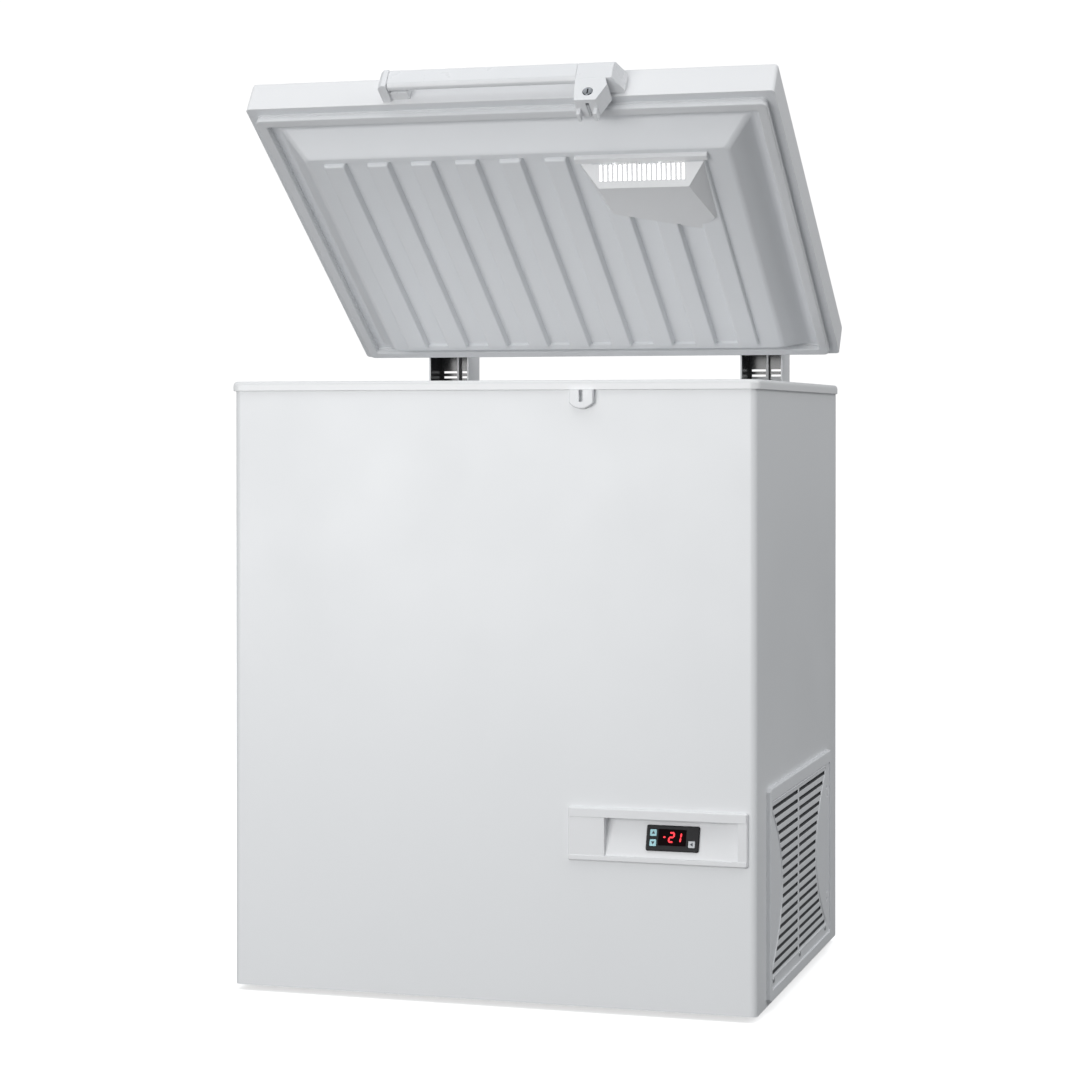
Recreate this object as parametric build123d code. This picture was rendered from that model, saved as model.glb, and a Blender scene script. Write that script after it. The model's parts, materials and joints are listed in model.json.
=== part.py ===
from build123d import *
import math
import os

# A chest freezer for ultra low temperatures. Millimetres, X to the right, Y to the back, Z up.
# Every piece is drawn with the lid shut and the cabinet centred on X = Y = 0, over the floor at Z = 0.
# The lid group is then turned open, and the whole model is moved to the middle of its own box.

# Cabinet
cabinet_width = 730.0
cabinet_depth = 576.0
shell_height = 814.0
foot_height = 8.0
foot_radius = 18.0
foot_inset = 62.0
sheet = 1.2
corner_radius = 9.0
machine_height = 290.0

# Rim and the cold chamber
rim_height = 13.0
rim_overhang = 4.0
rim_round = 5.5
opening_width = 676.0
opening_depth = 526.0
opening_back_shift = 1.0
collar_drop = 58.0
liner_thickness = 1.6
chamber_corner = 24.0
chamber_floor_height = 377.0

# Evaporator round the chamber
evaporator_height = 12.0
evaporator_thickness = 5.0
evaporator_tail_radius = 3.5
evaporator_turns = 5
evaporator_pitch = 60.0
evaporator_low = 28.0
evaporator_room = 13.0
seat_gap = 0.1

# Lid
lid_width = 750.0
lid_depth = 592.0
lid_thickness = 48.0
lid_edge = 5.0
lid_open_angle = 34.2
lid_gap = 12.0
gasket_inset = 12.0
gasket_width = 14.0
gasket_clearance = 0.3
gasket_slope = 3.5
plug_side_margin = 38.0
plug_front_margin = 41.0
plug_back_margin = 28.0
plug_drop = 33.0
plug_corner = 8.0
rib_count = 9
rib_width = 32.0
rib_pitch = 64.5
rib_height = 6.0
groove_depth = 4.0
rib_front_gap = 9.0
rib_back_gap = 12.0
rib_draft = 8.0

# Lamp housing on the lid liner, by distance from the lid's back edge
lamp_left = 90.0
lamp_right = 272.0
lamp_front = 503.0
lamp_side_back = 378.0
lamp_tip_back = 348.0
lamp_tip_in = 36.0
lamp_left_back = 392.0
lamp_left_in = 22.0
lamp_height = 32.0
lamp_draft = 38.0
lamp_wall = 2.5
lamp_face_tilt = 13.0
lamp_slots = 18
lamp_slot_pitch = 6.8
lamp_slot_width = 3.6

# Handle and lock on the lid's front
handle_left = -172.0
handle_bar_right = 110.0
handle_block_right = 160.0
handle_block_flare = 12.0
handle_reach = 32.0
handle_bar_thickness = 12.0
handle_bar_height = 28.0
handle_rise = 5.0
handle_end = 13.0
lock_center = 131.0
lock_width = 42.0
lock_foot_width = 26.0
lock_drop = 48.0
prong_length = 10.0
prong_width = 5.0
prong_gap = 18.0
lock_cylinder_radius = 7.0
lock_cylinder_drop = 19.0
lock_bolt_radius = 2.3
lock_bolt_reach = 24.0
running_clearance = 0.05

# Striker under the rim
striker_width = 33.0
striker_drop = 25.0
striker_thickness = 9.0
striker_slot_width = 5.5
striker_slot_height = 15.5
lock_bolt_height = 8.0

# Hinges
hinge_spacing = 500.0
hinge_inner_width = 60.0
hinge_sheet = 2.5
hinge_reach = 48.0
hinge_rise = 75.0
hinge_pin_radius = 5.0
hinge_foot_drop = 135.0
hinge_foot_width = 18.0
spring_wire = 3.2
spring_coils = 6

# Control panel, measured from the cabinet's right edge and its lower edge
panel_right_gap = 11.0
panel_width = 242.0
panel_low = 193.5
panel_height = 71.0
panel_proud = 5.0
panel_tub_depth = 17.0
recess_left = 50.0
recess_right = 13.0
recess_low = 7.5
recess_high = 13.0
recess_deep = 18.0
recess_shallow = 3.0
controller_width = 71.0
controller_height = 34.0
controller_left = 105.0
bezel_thickness = 3.0
body_depth = 58.0
body_margin = 2.5
button_size = 9.0
button_clearance = 0.25
button_proud = 0.6
button_depth = 3.3
button_travel = 0.6
window_width = 37.0
window_height = 21.0
window_thickness = 1.2

# Side grille, measured from the cabinet's front face and its lower edge
grille_front_gap = 64.0
grille_length = 444.0
grille_low = 5.0
grille_height = 283.0
grille_thickness = 6.0
grille_frame = 18.0
grille_back_frame = 42.0
grille_recess = 2.4
grille_rows = 18
grille_row_pitch = 12.8
grille_slot_height = 4.6
grille_slot_low = 43.0
grille_bar = 10.0
grille_bar_place = 0.48
grille_waist = 0.19
grille_louvre_tilt = 32.0

# Machine room
compressor_width = 190.0
compressor_depth = 150.0
compressor_height = 178.0
compressor_x = 20.0
compressor_y = 30.0
compressor_corner = 62.0
compressor_chords = 5
compressor_plate = 4.0
grommet_height = 14.0
grommet_neck_radius = 5.3
fan_height = 146.0
fan_radius = 92.0
fan_tip_gap = 6.0
fan_x = 262.0
fan_blades = 5
fan_blade_sheet = 2.4
fan_blade_pitch = 28.0
fan_shaft_radius = 3.0
motor_nose_radius = 19.5
condenser_x = 318.0
condenser_passes = 7
condenser_pass_length = 330.0
condenser_pitch = 33.0
condenser_tube = 4.0
condenser_depth = 30.0
pipe_radius = 4.0
thin_pipe_radius = 2.0
drier_reach = 65.0
rear_slots = 8
rear_slot_length = 150.0
rear_slot_margin = 123.8
rear_slot_low = 90.0
rear_slot_pitch = 16.0

# Small round pieces and bends are drawn with flat sides
bar_sides = 8
turned_sides = 12
fan_sides = 24
corner_chords = 3
bend_chords = 3
bend_share = 0.42

# Screws, by the radius of their holes
grille_screw_radius = 1.9
cover_screw_radius = 2.1
hinge_screw_radius = 2.6
fastener_gap = 0.1

# Values worked out from the driving dimensions
base_z = foot_height
rim_under = base_z + shell_height
rim_top = rim_under + rim_height
front_y = -cabinet_depth / 2
back_y = cabinet_depth / 2
right_x = cabinet_width / 2
rim_back_y = back_y + rim_overhang
chamber_width = opening_width - 2 * collar_drop
chamber_depth = opening_depth - 2 * collar_drop
collar_low = rim_top - collar_drop
chamber_floor = base_z + chamber_floor_height
deck_z = base_z + machine_height
pan_top = base_z + sheet
lid_low = rim_top + lid_gap
lid_top = lid_low + lid_thickness
lid_back_y = rim_back_y
lid_front_y = lid_back_y - lid_depth
lid_middle_y = (lid_front_y + lid_back_y) / 2
hinge_y = back_y + hinge_reach
hinge_z = rim_top + hinge_rise
plug_front_y = lid_front_y + plug_front_margin
plug_back_y = lid_back_y - plug_back_margin
plug_face_z = lid_low - plug_drop
panel_z = base_z + panel_low
panel_right = right_x - panel_right_gap
panel_left = panel_right - panel_width
panel_face_y = front_y - panel_proud
bolt_z = rim_under - lock_bolt_height

pieces = {}


def block(x_span, y_span, z_span):
    """A box between two values on each axis."""
    size = [span[1] - span[0] for span in (x_span, y_span, z_span)]
    middle = [(span[1] + span[0]) / 2 for span in (x_span, y_span, z_span)]
    return Pos(*middle) * Box(*size)


def group(parts):
    """Separate solids that share one node."""
    return Compound([solid for part in parts for solid in part.solids()])


def round_bar(start, end, radius):
    """A round bar between two points."""
    run = Vector(*end) - Vector(*start)
    return Plane(origin=start, z_dir=run) * Pos(0, 0, run.length / 2) * Cylinder(radius, run.length)


def prism_bar(start, end, radius, sides=bar_sides):
    """A bar with flat sides between two points."""
    run = Vector(*end) - Vector(*start)
    section = Plane(origin=start, z_dir=run) * RegularPolygon(radius, sides)
    return extrude(section, run.length)


def form(sections):
    """A closed form with flat sides through sections that have as many corners each."""
    faces = [Face(Wire.make_polygon(sections[0])), Face(Wire.make_polygon(sections[-1]))]
    for low, high in zip(sections, sections[1:]):
        for i in range(len(low)):
            faces.append(Face(Wire.make_polygon([low[i - 1], low[i], high[i], high[i - 1]])))
    return Solid(Shell(faces))


def ring(radius, sides, z):
    """The corners of a level polygon round the Z axis."""
    turns = [2 * math.pi * i / sides for i in range(sides)]
    return [(radius * math.cos(turn), radius * math.sin(turn), z) for turn in turns]


def corner_arc(x, y, radius, quarter, chords):
    """The points of a quarter turn round a corner's centre, seen from above."""
    turns = [math.radians(90 * (quarter + i / chords)) for i in range(chords + 1)]
    return [(x + radius * math.cos(turn), y + radius * math.sin(turn)) for turn in turns]


def soft_rectangle(width, depth, corner, z, middle_y=0.0, chords=corner_chords):
    """The corners of a level rectangle that is rounded at each corner by short chords."""
    points = []
    for quarter in range(4):
        x = (width / 2 - corner) * (1 if quarter in (0, 3) else -1)
        y = (depth / 2 - corner) * (1 if quarter < 2 else -1) + middle_y
        points += [(*point, z) for point in corner_arc(x, y, corner, quarter, chords)]
    return points


def soft_block(width, depth, corner, levels, middle_y=0.0, chords=corner_chords):
    """A block with rounded corners, pulled in by a distance at each of its levels."""
    return form([soft_rectangle(width - 2 * inset, depth - 2 * inset, corner - inset, z, middle_y, chords)
                 for z, inset in levels])


def drafted_block(x, y, width, length, z_wide, z_narrow, draft):
    """A block that narrows from one height to another by a draft angle."""
    pull = abs(z_narrow - z_wide) * math.tan(math.radians(draft))
    sections = []
    for half_width, half_length, z in ((width / 2, length / 2, z_wide),
                                       (width / 2 - pull, length / 2 - pull, z_narrow)):
        signs = ((1, 1), (-1, 1), (-1, -1), (1, -1))
        sections.append([(x + i * half_width, y + j * half_length, z) for i, j in signs])
    return form(sections)


def inset_points(points, distance):
    """A convex outline, given anticlockwise, with each side moved in by a distance."""
    moved = []
    for before, point, after in zip(points[-1:] + points, points, points[1:] + points[:1]):
        along = Vector(*point) - Vector(*before)
        on = Vector(*after) - Vector(*point)
        sides = [side.normalized() for side in (along, on)]
        inward = [Vector(-side.Y, side.X) for side in sides]
        middle = inward[0] + inward[1]
        place = Vector(*point) + middle * (distance / (1 + inward[0].dot(inward[1])))
        moved.append((place.X, place.Y))
    return moved


def bent_points(points, bend):
    """A route whose corners are rounded by a few short chords."""
    route = [Vector(*point) for point in points]
    bent = [route[0]]
    for before, corner, after in zip(route, route[1:], route[2:]):
        back = before - corner
        on = after - corner
        reach = min(bend, bend_share * back.length, bend_share * on.length)
        first = corner + back.normalized() * reach
        last = corner + on.normalized() * reach
        for i in range(bend_chords + 1):
            share = i / bend_chords
            bent.append(first * (1 - share) ** 2 + corner * (2 * share * (1 - share)) + last * share ** 2)
    return bent + [route[-1]]


def tube_along(points, radius, bend):
    """A tube with flat sides along straight runs and bends."""
    path = Polyline(*bent_points(points, bend))
    section = Plane(origin=path @ 0, z_dir=path % 0) * RegularPolygon(radius, bar_sides)
    return sweep(section, path=path, transition=Transition.RIGHT)


def screw(head_radius, head_height, shank_radius, shank_length):
    """A screw whose flat-sided head rises along +Z from its seat at Z = 0."""
    head = prism_bar((0, 0, 0), (0, 0, head_height), head_radius)
    return head + prism_bar((0, 0, -shank_length), (0, 0, 0), shank_radius)


def cabinet_plan(inset, back, low, high):
    """The cabinet's plan as a block, with its two front corners rounded."""
    half = right_x - inset
    radius = corner_radius - inset
    y = front_y + inset + radius
    outline = corner_arc(radius - half, y, radius, 2, corner_chords)
    outline += corner_arc(half - radius, y, radius, 3, corner_chords)
    outline += [(half, back), (-half, back)]
    return form([[(*point, z) for point in outline] for z in (low, high)])


def well(grow):
    """The cold well: sloped collar and straight chamber, grown outwards by a wall."""
    corner = chamber_corner + grow
    low = (chamber_width + 2 * grow, chamber_depth + 2 * grow, corner)
    top = (opening_width + 2 * grow, opening_depth + 2 * grow, corner)
    return form([soft_rectangle(*low, chamber_floor - grow, opening_back_shift),
                 soft_rectangle(*low, collar_low, opening_back_shift),
                 soft_rectangle(*top, rim_top, opening_back_shift)])


# Cabinet shell

def panel_cutout():
    """The hole in the front sheet behind the control panel."""
    left = panel_left + recess_left - 4
    right = panel_right - recess_right + 4
    low = panel_z + recess_low - 4
    high = panel_z + panel_height - recess_high + 4
    return block((left, right), (front_y - 1, front_y + sheet + 1), (low, high))


def grille_spans():
    """Where the side grille lies along Y and Z."""
    y_low = front_y + grille_front_gap
    z_low = base_z + grille_low
    return (y_low, y_low + grille_length), (z_low, z_low + grille_height)


def grille_opening(x_span):
    """A block through the side sheet behind the grille's slots."""
    y_span = grille_spans()[0]
    y_inside = (y_span[0] + grille_frame - 4, y_span[1] - grille_back_frame + 4)
    low = base_z + grille_slot_low - grille_slot_height - 2
    high = low + grille_rows * grille_row_pitch
    return block(x_span, y_inside, (low, high))


def make_outer_wrap():
    outer = cabinet_plan(0, back_y, base_z, rim_under)
    inner = cabinet_plan(sheet, back_y + 1, base_z - 1, rim_under + 1)
    side_hole = grille_opening((right_x - sheet - 1, right_x + 1))
    wrap = outer - inner - panel_cutout() - side_hole
    for y, z in grille_screw_places():
        wrap -= prism_bar((right_x - sheet - 1, y, z), (right_x + 1, y, z), grille_screw_radius)
    return wrap


def make_back_panel():
    half = right_x - sheet
    panel = block((-half, half), (back_y - sheet, back_y), (deck_z, rim_under))
    for x, z in bracket_screw_places():
        panel -= prism_bar((x, back_y - 3, z), (x, back_y + 1, z), hinge_screw_radius)
    return panel


def rear_cover_screw_places():
    half = right_x - sheet - 14
    low = pan_top + 34
    high = deck_z - 12
    return [(x, z) for x in (-half, 0, half) for z in (low, high)]


def make_rear_cover():
    half = right_x - sheet
    cover = block((-half, half), (back_y - sheet, back_y), (pan_top, deck_z))
    middle = half - rear_slot_margin - rear_slot_length / 2
    for side in (-1, 1):
        slot_x = (side * middle - rear_slot_length / 2, side * middle + rear_slot_length / 2)
        for row in range(rear_slots):
            z = base_z + rear_slot_low + row * rear_slot_pitch
            cover -= block(slot_x, (back_y - 3, back_y + 1), (z - 3, z + 3))
    cover -= block(inlet_span(0.1), (back_y - 3, back_y + 1), inlet_z_span(0.1))
    for x, z in rear_cover_screw_places():
        cover -= prism_bar((x, back_y - 3, z), (x, back_y + 1, z), cover_screw_radius)
    return cover


def make_rear_cover_screws():
    one = screw(4.2, 2.6, cover_screw_radius - fastener_gap, 8)
    seats = [Pos(x, back_y, z) * Rot(-90, 0, 0) * one for x, z in rear_cover_screw_places()]
    return group(seats)


def make_base_pan():
    half = right_x - sheet
    y_span = (front_y + sheet, back_y - sheet)
    floor = cabinet_plan(sheet, back_y, base_z, pan_top)
    walls = cabinet_plan(sheet, y_span[1], base_z, base_z + 24)
    hollow = cabinet_plan(2 * sheet, y_span[1] - sheet, pan_top, base_z + 25)
    trim = block((-half, half), (y_span[1], back_y), (pan_top, base_z + 30))
    return (floor + walls) - hollow - trim


def foot_places():
    x = right_x - foot_inset
    y = back_y - foot_inset
    return [(i * x, j * y) for i in (-1, 1) for j in (-1, 1)]


def make_feet():
    foot = form([ring(foot_radius - 3, turned_sides, 0), ring(foot_radius, turned_sides, foot_height)])
    return group([Pos(x, y, 0) * foot for x, y in foot_places()])


def make_deck():
    deck = cabinet_plan(sheet, back_y - sheet, deck_z, deck_z + sheet)
    for x, y in (suction_place(), capillary_place()):
        deck -= prism_bar((x, y, deck_z - 1), (x, y, deck_z + 3), evaporator_tail_radius + 2)
    return deck


def suction_place():
    """Where the evaporator's suction tail comes down through the foam."""
    return -(chamber_width / 2 + tail_offset()), opening_back_shift + 60


def capillary_place():
    return chamber_width / 2 + tail_offset(), opening_back_shift + 60


def tail_offset():
    """From the chamber wall to the middle of an evaporator tail."""
    return liner_thickness + seat_gap + evaporator_thickness + evaporator_tail_radius


def make_foam():
    foam = cabinet_plan(sheet, back_y - sheet, deck_z + sheet, rim_under)
    foam -= well(liner_thickness)
    low = chamber_floor + evaporator_low - 12
    high = low + evaporator_pitch * (evaporator_turns - 1) + evaporator_height + 24
    foam -= round_the_liner(evaporator_room, low, high)
    for x, y in (suction_place(), capillary_place()):
        foam -= prism_bar((x, y, deck_z - 1), (x, y, low + 1), evaporator_tail_radius + 0.5)
    probe_x = -chamber_width / 2 - liner_thickness
    foam -= block((probe_x - 8, probe_x + 1), (-20, 20), (low - 20, low + 1))
    return foam


def round_the_liner(grow, low, high):
    """A block with the liner's outline, grown by a distance."""
    out = liner_thickness + grow
    return soft_block(chamber_width + 2 * out, chamber_depth + 2 * out, chamber_corner + out,
                      ((low, 0), (high, 0)), opening_back_shift)


def make_liner():
    shell = well(liner_thickness) - well(0)
    keep = block((-right_x, right_x), (front_y, back_y), (base_z, collar_low))
    return shell & keep


def make_collar():
    shell = well(liner_thickness) - well(0)
    keep = block((-right_x, right_x), (front_y, back_y), (collar_low, rim_under))
    return shell & keep


def make_rim():
    levels = ((rim_under, 0), (rim_top - rim_round, 0), (rim_top - 0.3 * rim_round, 0.3 * rim_round),
              (rim_top, rim_round))
    ring_form = soft_block(cabinet_width + 2 * rim_overhang, cabinet_depth + 2 * rim_overhang,
                           corner_radius + rim_overhang, levels)
    return ring_form - well(0)


def make_evaporator():
    """A flat tube in level turns round the liner, with tails down to the deck."""
    low = chamber_floor + evaporator_low
    top = low + (evaporator_turns - 1) * evaporator_pitch + evaporator_height
    inner = round_the_liner(seat_gap, low - 1, top + 1)
    turns = []
    for i in range(evaporator_turns):
        z = low + i * evaporator_pitch
        turns.append(round_the_liner(seat_gap + evaporator_thickness, z, z + evaporator_height) - inner)
    riser_x = chamber_width / 2 + liner_thickness + seat_gap
    riser_y = opening_back_shift - 60
    riser = block((-riser_x - evaporator_thickness, -riser_x), (riser_y - 6, riser_y + 6), (low, top))
    tails = []
    for x, y in (suction_place(), capillary_place()):
        tails.append(prism_bar((x, y, deck_z + 2), (x, y, low + evaporator_height), evaporator_tail_radius))
    return turns[0].fuse(*turns[1:], riser, *tails)


def make_probe():
    x = -chamber_width / 2 - liner_thickness - seat_gap - 3
    z = chamber_floor + evaporator_low - 26
    return prism_bar((x, -16, z), (x, 16, z), 3)


# Striker on the front, under the rim

def make_striker():
    half = striker_width / 2
    low = rim_under - striker_drop
    side_low = low + 8
    arc = ThreePointArc((half, side_low), (0, low), (-half, side_low))
    sides = Polyline((-half, side_low), (-half, rim_under), (half, rim_under), (half, side_low))
    face = make_face(arc.edges() + sides.edges())
    plane = Plane(origin=(lock_center, front_y, 0), x_dir=(1, 0, 0), z_dir=(0, -1, 0))
    plate = extrude(plane * face, striker_thickness)
    slot_high = bolt_z + striker_slot_height / 2
    slot_low = bolt_z - striker_slot_height / 2
    half_slot = striker_slot_width / 2
    plate -= block((lock_center - half_slot, lock_center + half_slot),
                   (front_y - striker_thickness - 1, front_y + 1), (slot_low, slot_high))
    front_edges = plate.faces().sort_by(Axis.Y)[0].outer_wire().edges()
    lower_edges = front_edges.filter_by(lambda edge: edge.center().Z < rim_under - 1)
    return chamfer(lower_edges, 1.2)


# Control panel and controller

def recess_spans():
    x_span = (panel_left + recess_left, panel_right - recess_right)
    z_span = (panel_z + recess_low, panel_z + panel_height - recess_high)
    return x_span, z_span


def recess_tilt():
    z_span = recess_spans()[1]
    return math.atan2(recess_deep - recess_shallow, z_span[1] - z_span[0])


def controller_plane():
    """The plane of the sloped recess floor, centred on the controller."""
    x_span, z_span = recess_spans()
    x = panel_left + controller_left + controller_width / 2
    z = (z_span[0] + z_span[1]) / 2
    y = panel_face_y + (recess_deep + recess_shallow) / 2
    tilt = recess_tilt()
    return Plane(origin=(x, y, z), x_dir=(1, 0, 0), z_dir=(0, -math.cos(tilt), math.sin(tilt)))


def make_control_panel():
    plate = block((panel_left, panel_right), (panel_face_y, front_y), (panel_z, panel_z + panel_height))
    plate = chamfer(plate.edges().filter_by(Axis.Y), 2)
    plate = chamfer(plate.faces().sort_by(Axis.Y)[0].edges(), 1.5)
    x_span, z_span = recess_spans()
    wall = 2.5
    tub = block((x_span[0] - wall, x_span[1] + wall), (front_y, front_y + panel_tub_depth),
                (z_span[0] - wall, z_span[1] + wall))
    low, high = z_span
    side = Polyline((panel_face_y - 1, low), (panel_face_y - 1, high), (panel_face_y + recess_deep, high),
                    (panel_face_y + recess_shallow, low), close=True)
    profile = Plane(origin=(x_span[0], 0, 0), x_dir=(0, 1, 0), z_dir=(1, 0, 0)) * make_face(side.edges())
    recess = extrude(profile, x_span[1] - x_span[0])
    width = controller_width - 2 * body_margin + 0.4
    height = controller_height - 2 * body_margin + 0.4
    hole = controller_plane() * Pos(0, 0, -20) * Box(width, height, 60)
    return plate + tub - recess - hole


def button_places():
    side = -controller_width / 2 + 9.5
    return {"up_button": (side, 6.6), "down_button": (side, -6.6), "set_button": (-side, -7.0)}


def make_controller():
    bezel = Pos(0, 0, bezel_thickness / 2) * Box(controller_width, controller_height, bezel_thickness)
    bezel = chamfer(bezel.edges().filter_by(Axis.Z), 1.6)
    bezel = chamfer(bezel.faces().sort_by(Axis.Z)[-1].edges(), 0.9)
    body = Pos(0, 0, -body_depth / 2) * Box(
        controller_width - 2 * body_margin, controller_height - 2 * body_margin, body_depth)
    housing = bezel + body
    pocket = button_size + 2 * button_clearance
    for x, y in button_places().values():
        housing -= Pos(x, y, 0) * Box(pocket, pocket, 2 * (button_depth + button_travel + 0.1))
    window = Pos(window_shift(), 1, bezel_thickness)
    housing -= window * Box(window_width + 0.2, window_height + 0.2, 2 * (window_thickness - 0.2))
    return controller_plane() * housing


def window_shift():
    return -0.5


def make_window():
    z = bezel_thickness - window_thickness / 2 + 0.2
    glass = Pos(window_shift(), 1, z) * Box(window_width, window_height, window_thickness)
    return controller_plane() * glass


def make_button(place):
    x, y = place
    z_middle = (button_proud - button_depth) / 2
    cap = Pos(x, y, bezel_thickness + z_middle) * Box(button_size, button_size, button_depth + button_proud)
    cap = chamfer(cap.edges().filter_by(Axis.Z), 0.8)
    cap = chamfer(cap.faces().sort_by(Axis.Z)[-1].edges(), 0.3)
    return controller_plane() * cap


# Side grille

def grille_slot_spans(row):
    """Where the two slots of one row lie along Y: full at the ends, pinched at mid height."""
    y_span = grille_spans()[0]
    field_low = y_span[0] + grille_frame
    field_high = y_span[1] - grille_back_frame
    centre = field_low + (field_high - field_low) * grille_bar_place
    share = (row - (grille_rows - 1) / 2) / ((grille_rows - 1) / 2)
    pinch = grille_waist * (field_high - field_low) * (1 - share * share)
    front = (field_low + pinch, centre - grille_bar / 2)
    back = (centre + grille_bar / 2, field_high - pinch)
    return front, back


def grille_screw_places():
    y_span = grille_spans()[0]
    z = base_z + 31
    inside = y_span[1] - grille_back_frame / 2 - 20
    return [(y_span[0] + 26, z), ((y_span[0] + y_span[1]) / 2 - 14, z), (inside, z)]


def make_side_grille():
    y_span, z_span = grille_spans()
    outer_x = right_x + grille_thickness
    plate = block((right_x, outer_x), y_span, z_span)
    plate = chamfer(plate.edges().filter_by(Axis.X), 5)
    plate = chamfer(plate.faces().sort_by(Axis.X)[-1].edges(), 1.5)
    field = block((outer_x - grille_recess, outer_x + 1),
                  (y_span[0] + grille_frame - 8, y_span[1] - 8), (z_span[0] + 15, z_span[1] - 17))
    plate -= chamfer(field.edges().filter_by(Axis.X), 3)
    for row in range(grille_rows):
        z = base_z + grille_slot_low + row * grille_row_pitch
        for low, high in grille_slot_spans(row):
            louvre = Pos(right_x + 1, (low + high) / 2, z) * Rot(0, grille_louvre_tilt, 0)
            plate -= louvre * Box(24, high - low, grille_slot_height)
    notch_y = y_span[1] - 24
    for pair in (70.5, 223):
        for step in (0, 12):
            z = base_z + pair + step
            plate -= block((outer_x - grille_recess - 1.5, outer_x + 1),
                           (notch_y - 5, notch_y + 5), (z - 2.5, z + 2.5))
    for y, z in grille_screw_places():
        plate -= prism_bar((right_x - 1, y, z), (outer_x + 1, y, z), grille_screw_radius)
    return plate


def make_grille_screws():
    one = screw(4.0, 1.8, grille_screw_radius - fastener_gap, 14)
    x = right_x + grille_thickness - grille_recess
    return group([Pos(x, y, z) * Rot(0, 90, 0) * one for y, z in grille_screw_places()])


# Machine room

def compressor_feet():
    x = compressor_width / 2 - 6
    y = compressor_depth / 2 + 2
    return [(compressor_x + i * x, compressor_y + j * y) for i in (-1, 1) for j in (-1, 1)]


def discharge_stub():
    """The compressor's outlet: from inside the shell out to the pipe's end."""
    x = compressor_x + 20
    y = compressor_y - compressor_depth / 2
    z = pan_top + 140
    return (x, y + 20, z), (x, y - 10, z)


def suction_stub():
    x = compressor_x - compressor_width / 2
    z = pan_top + 124
    return (x + 20, compressor_y, z), (x - 12, compressor_y, z)


def make_compressor():
    """A welded shell in two halves on its foot plate, with two pipe stubs."""
    z_low = pan_top + grommet_height
    shell_low = z_low + compressor_plate
    shell_top = shell_low + compressor_height
    plate = soft_block(compressor_width + 16, compressor_depth + 28, 12,
                       ((z_low, 0), (shell_low, 0)))
    levels = ((shell_low, 12), (shell_low + 12, 0), (shell_top - 44, 0), (shell_top - 16, 14),
              (shell_top, 42))
    shell = soft_block(compressor_width, compressor_depth, compressor_corner, levels, 0, compressor_chords)
    seam = soft_block(compressor_width + 8, compressor_depth + 8, compressor_corner + 4,
                      ((z_low + 88, 0), (z_low + 94, 0)), 0, compressor_chords)
    whole = Pos(compressor_x, compressor_y, 0) * (plate + shell + seam)
    for start, end in (discharge_stub(), suction_stub()):
        whole += prism_bar(start, end, pipe_radius + 1.5)
    for x, y in compressor_feet():
        whole -= prism_bar((x, y, z_low - 1), (x, y, shell_low + 1), grommet_neck_radius + 0.2)
    return whole


def make_grommets():
    neck_high = grommet_height + compressor_plate
    foot = prism_bar((0, 0, 0), (0, 0, grommet_height), 11)
    neck = prism_bar((0, 0, grommet_height), (0, 0, neck_high), grommet_neck_radius)
    cap = prism_bar((0, 0, neck_high), (0, 0, neck_high + 4), 9)
    one = foot + neck + cap
    return group([Pos(x, y, pan_top) * one for x, y in compressor_feet()])


def make_terminal_cover():
    y_seat = compressor_y - compressor_depth / 2
    cover = block((compressor_x - 30, compressor_x + 30), (y_seat - 38, y_seat), (pan_top + 50, pan_top + 96))
    return chamfer(cover.faces().sort_by(Axis.Y)[0].edges(), 4)


def make_capacitor():
    return Pos(-190, -150, pan_top) * form([ring(20, turned_sides, 0), ring(20, turned_sides, 87),
                                            ring(17, turned_sides, 90)])


def fan_plate_x():
    return fan_x + 26


def make_fan_shroud():
    """A plate with a ring round the fan and three arms that carry the motor."""
    x = fan_plate_x()
    z = base_z + fan_height
    half = fan_radius + 28
    bore = fan_radius + fan_tip_gap
    plate = block((x, x + 2), (-half, half), (pan_top, z + half))
    foot = block((x - 18, x), (-half, half), (pan_top, pan_top + 2))
    duct = prism_bar((motor_seat_x(), 0, z), (x, 0, z), bore + 2, fan_sides)
    shroud = plate + foot + duct - prism_bar((x - 60, 0, z), (x + 3, 0, z), bore, fan_sides)
    hub = prism_bar((motor_seat_x(), 0, z), (motor_seat_x() + 4, 0, z), 36, turned_sides)
    arms = []
    for turn in (90, 210, 330):
        arm = Pos(motor_seat_x() + 2, 0, z) * Rot(turn, 0, 0)
        arms.append(arm * Pos(0, 0, bore / 2) * Box(4, 10, bore + 2))
    hole = prism_bar((x - 60, 0, z), (x + 3, 0, z), motor_nose_radius + 0.1, turned_sides)
    return shroud.fuse(hub, *arms) - hole


def motor_seat_x():
    return fan_x - 11


def make_fan_motor():
    z = base_z + fan_height
    can = form([ring(28, fan_sides, -50), ring(34, fan_sides, -44), ring(34, fan_sides, 0)])
    can = Pos(motor_seat_x(), 0, z) * Rot(0, 90, 0) * can
    nose = prism_bar((motor_seat_x(), 0, z), (fan_x - 6, 0, z), motor_nose_radius, turned_sides)
    shaft = prism_bar((fan_x - 6, 0, z), (fan_x + 18, 0, z), fan_shaft_radius, turned_sides)
    return can + nose + shaft


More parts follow.
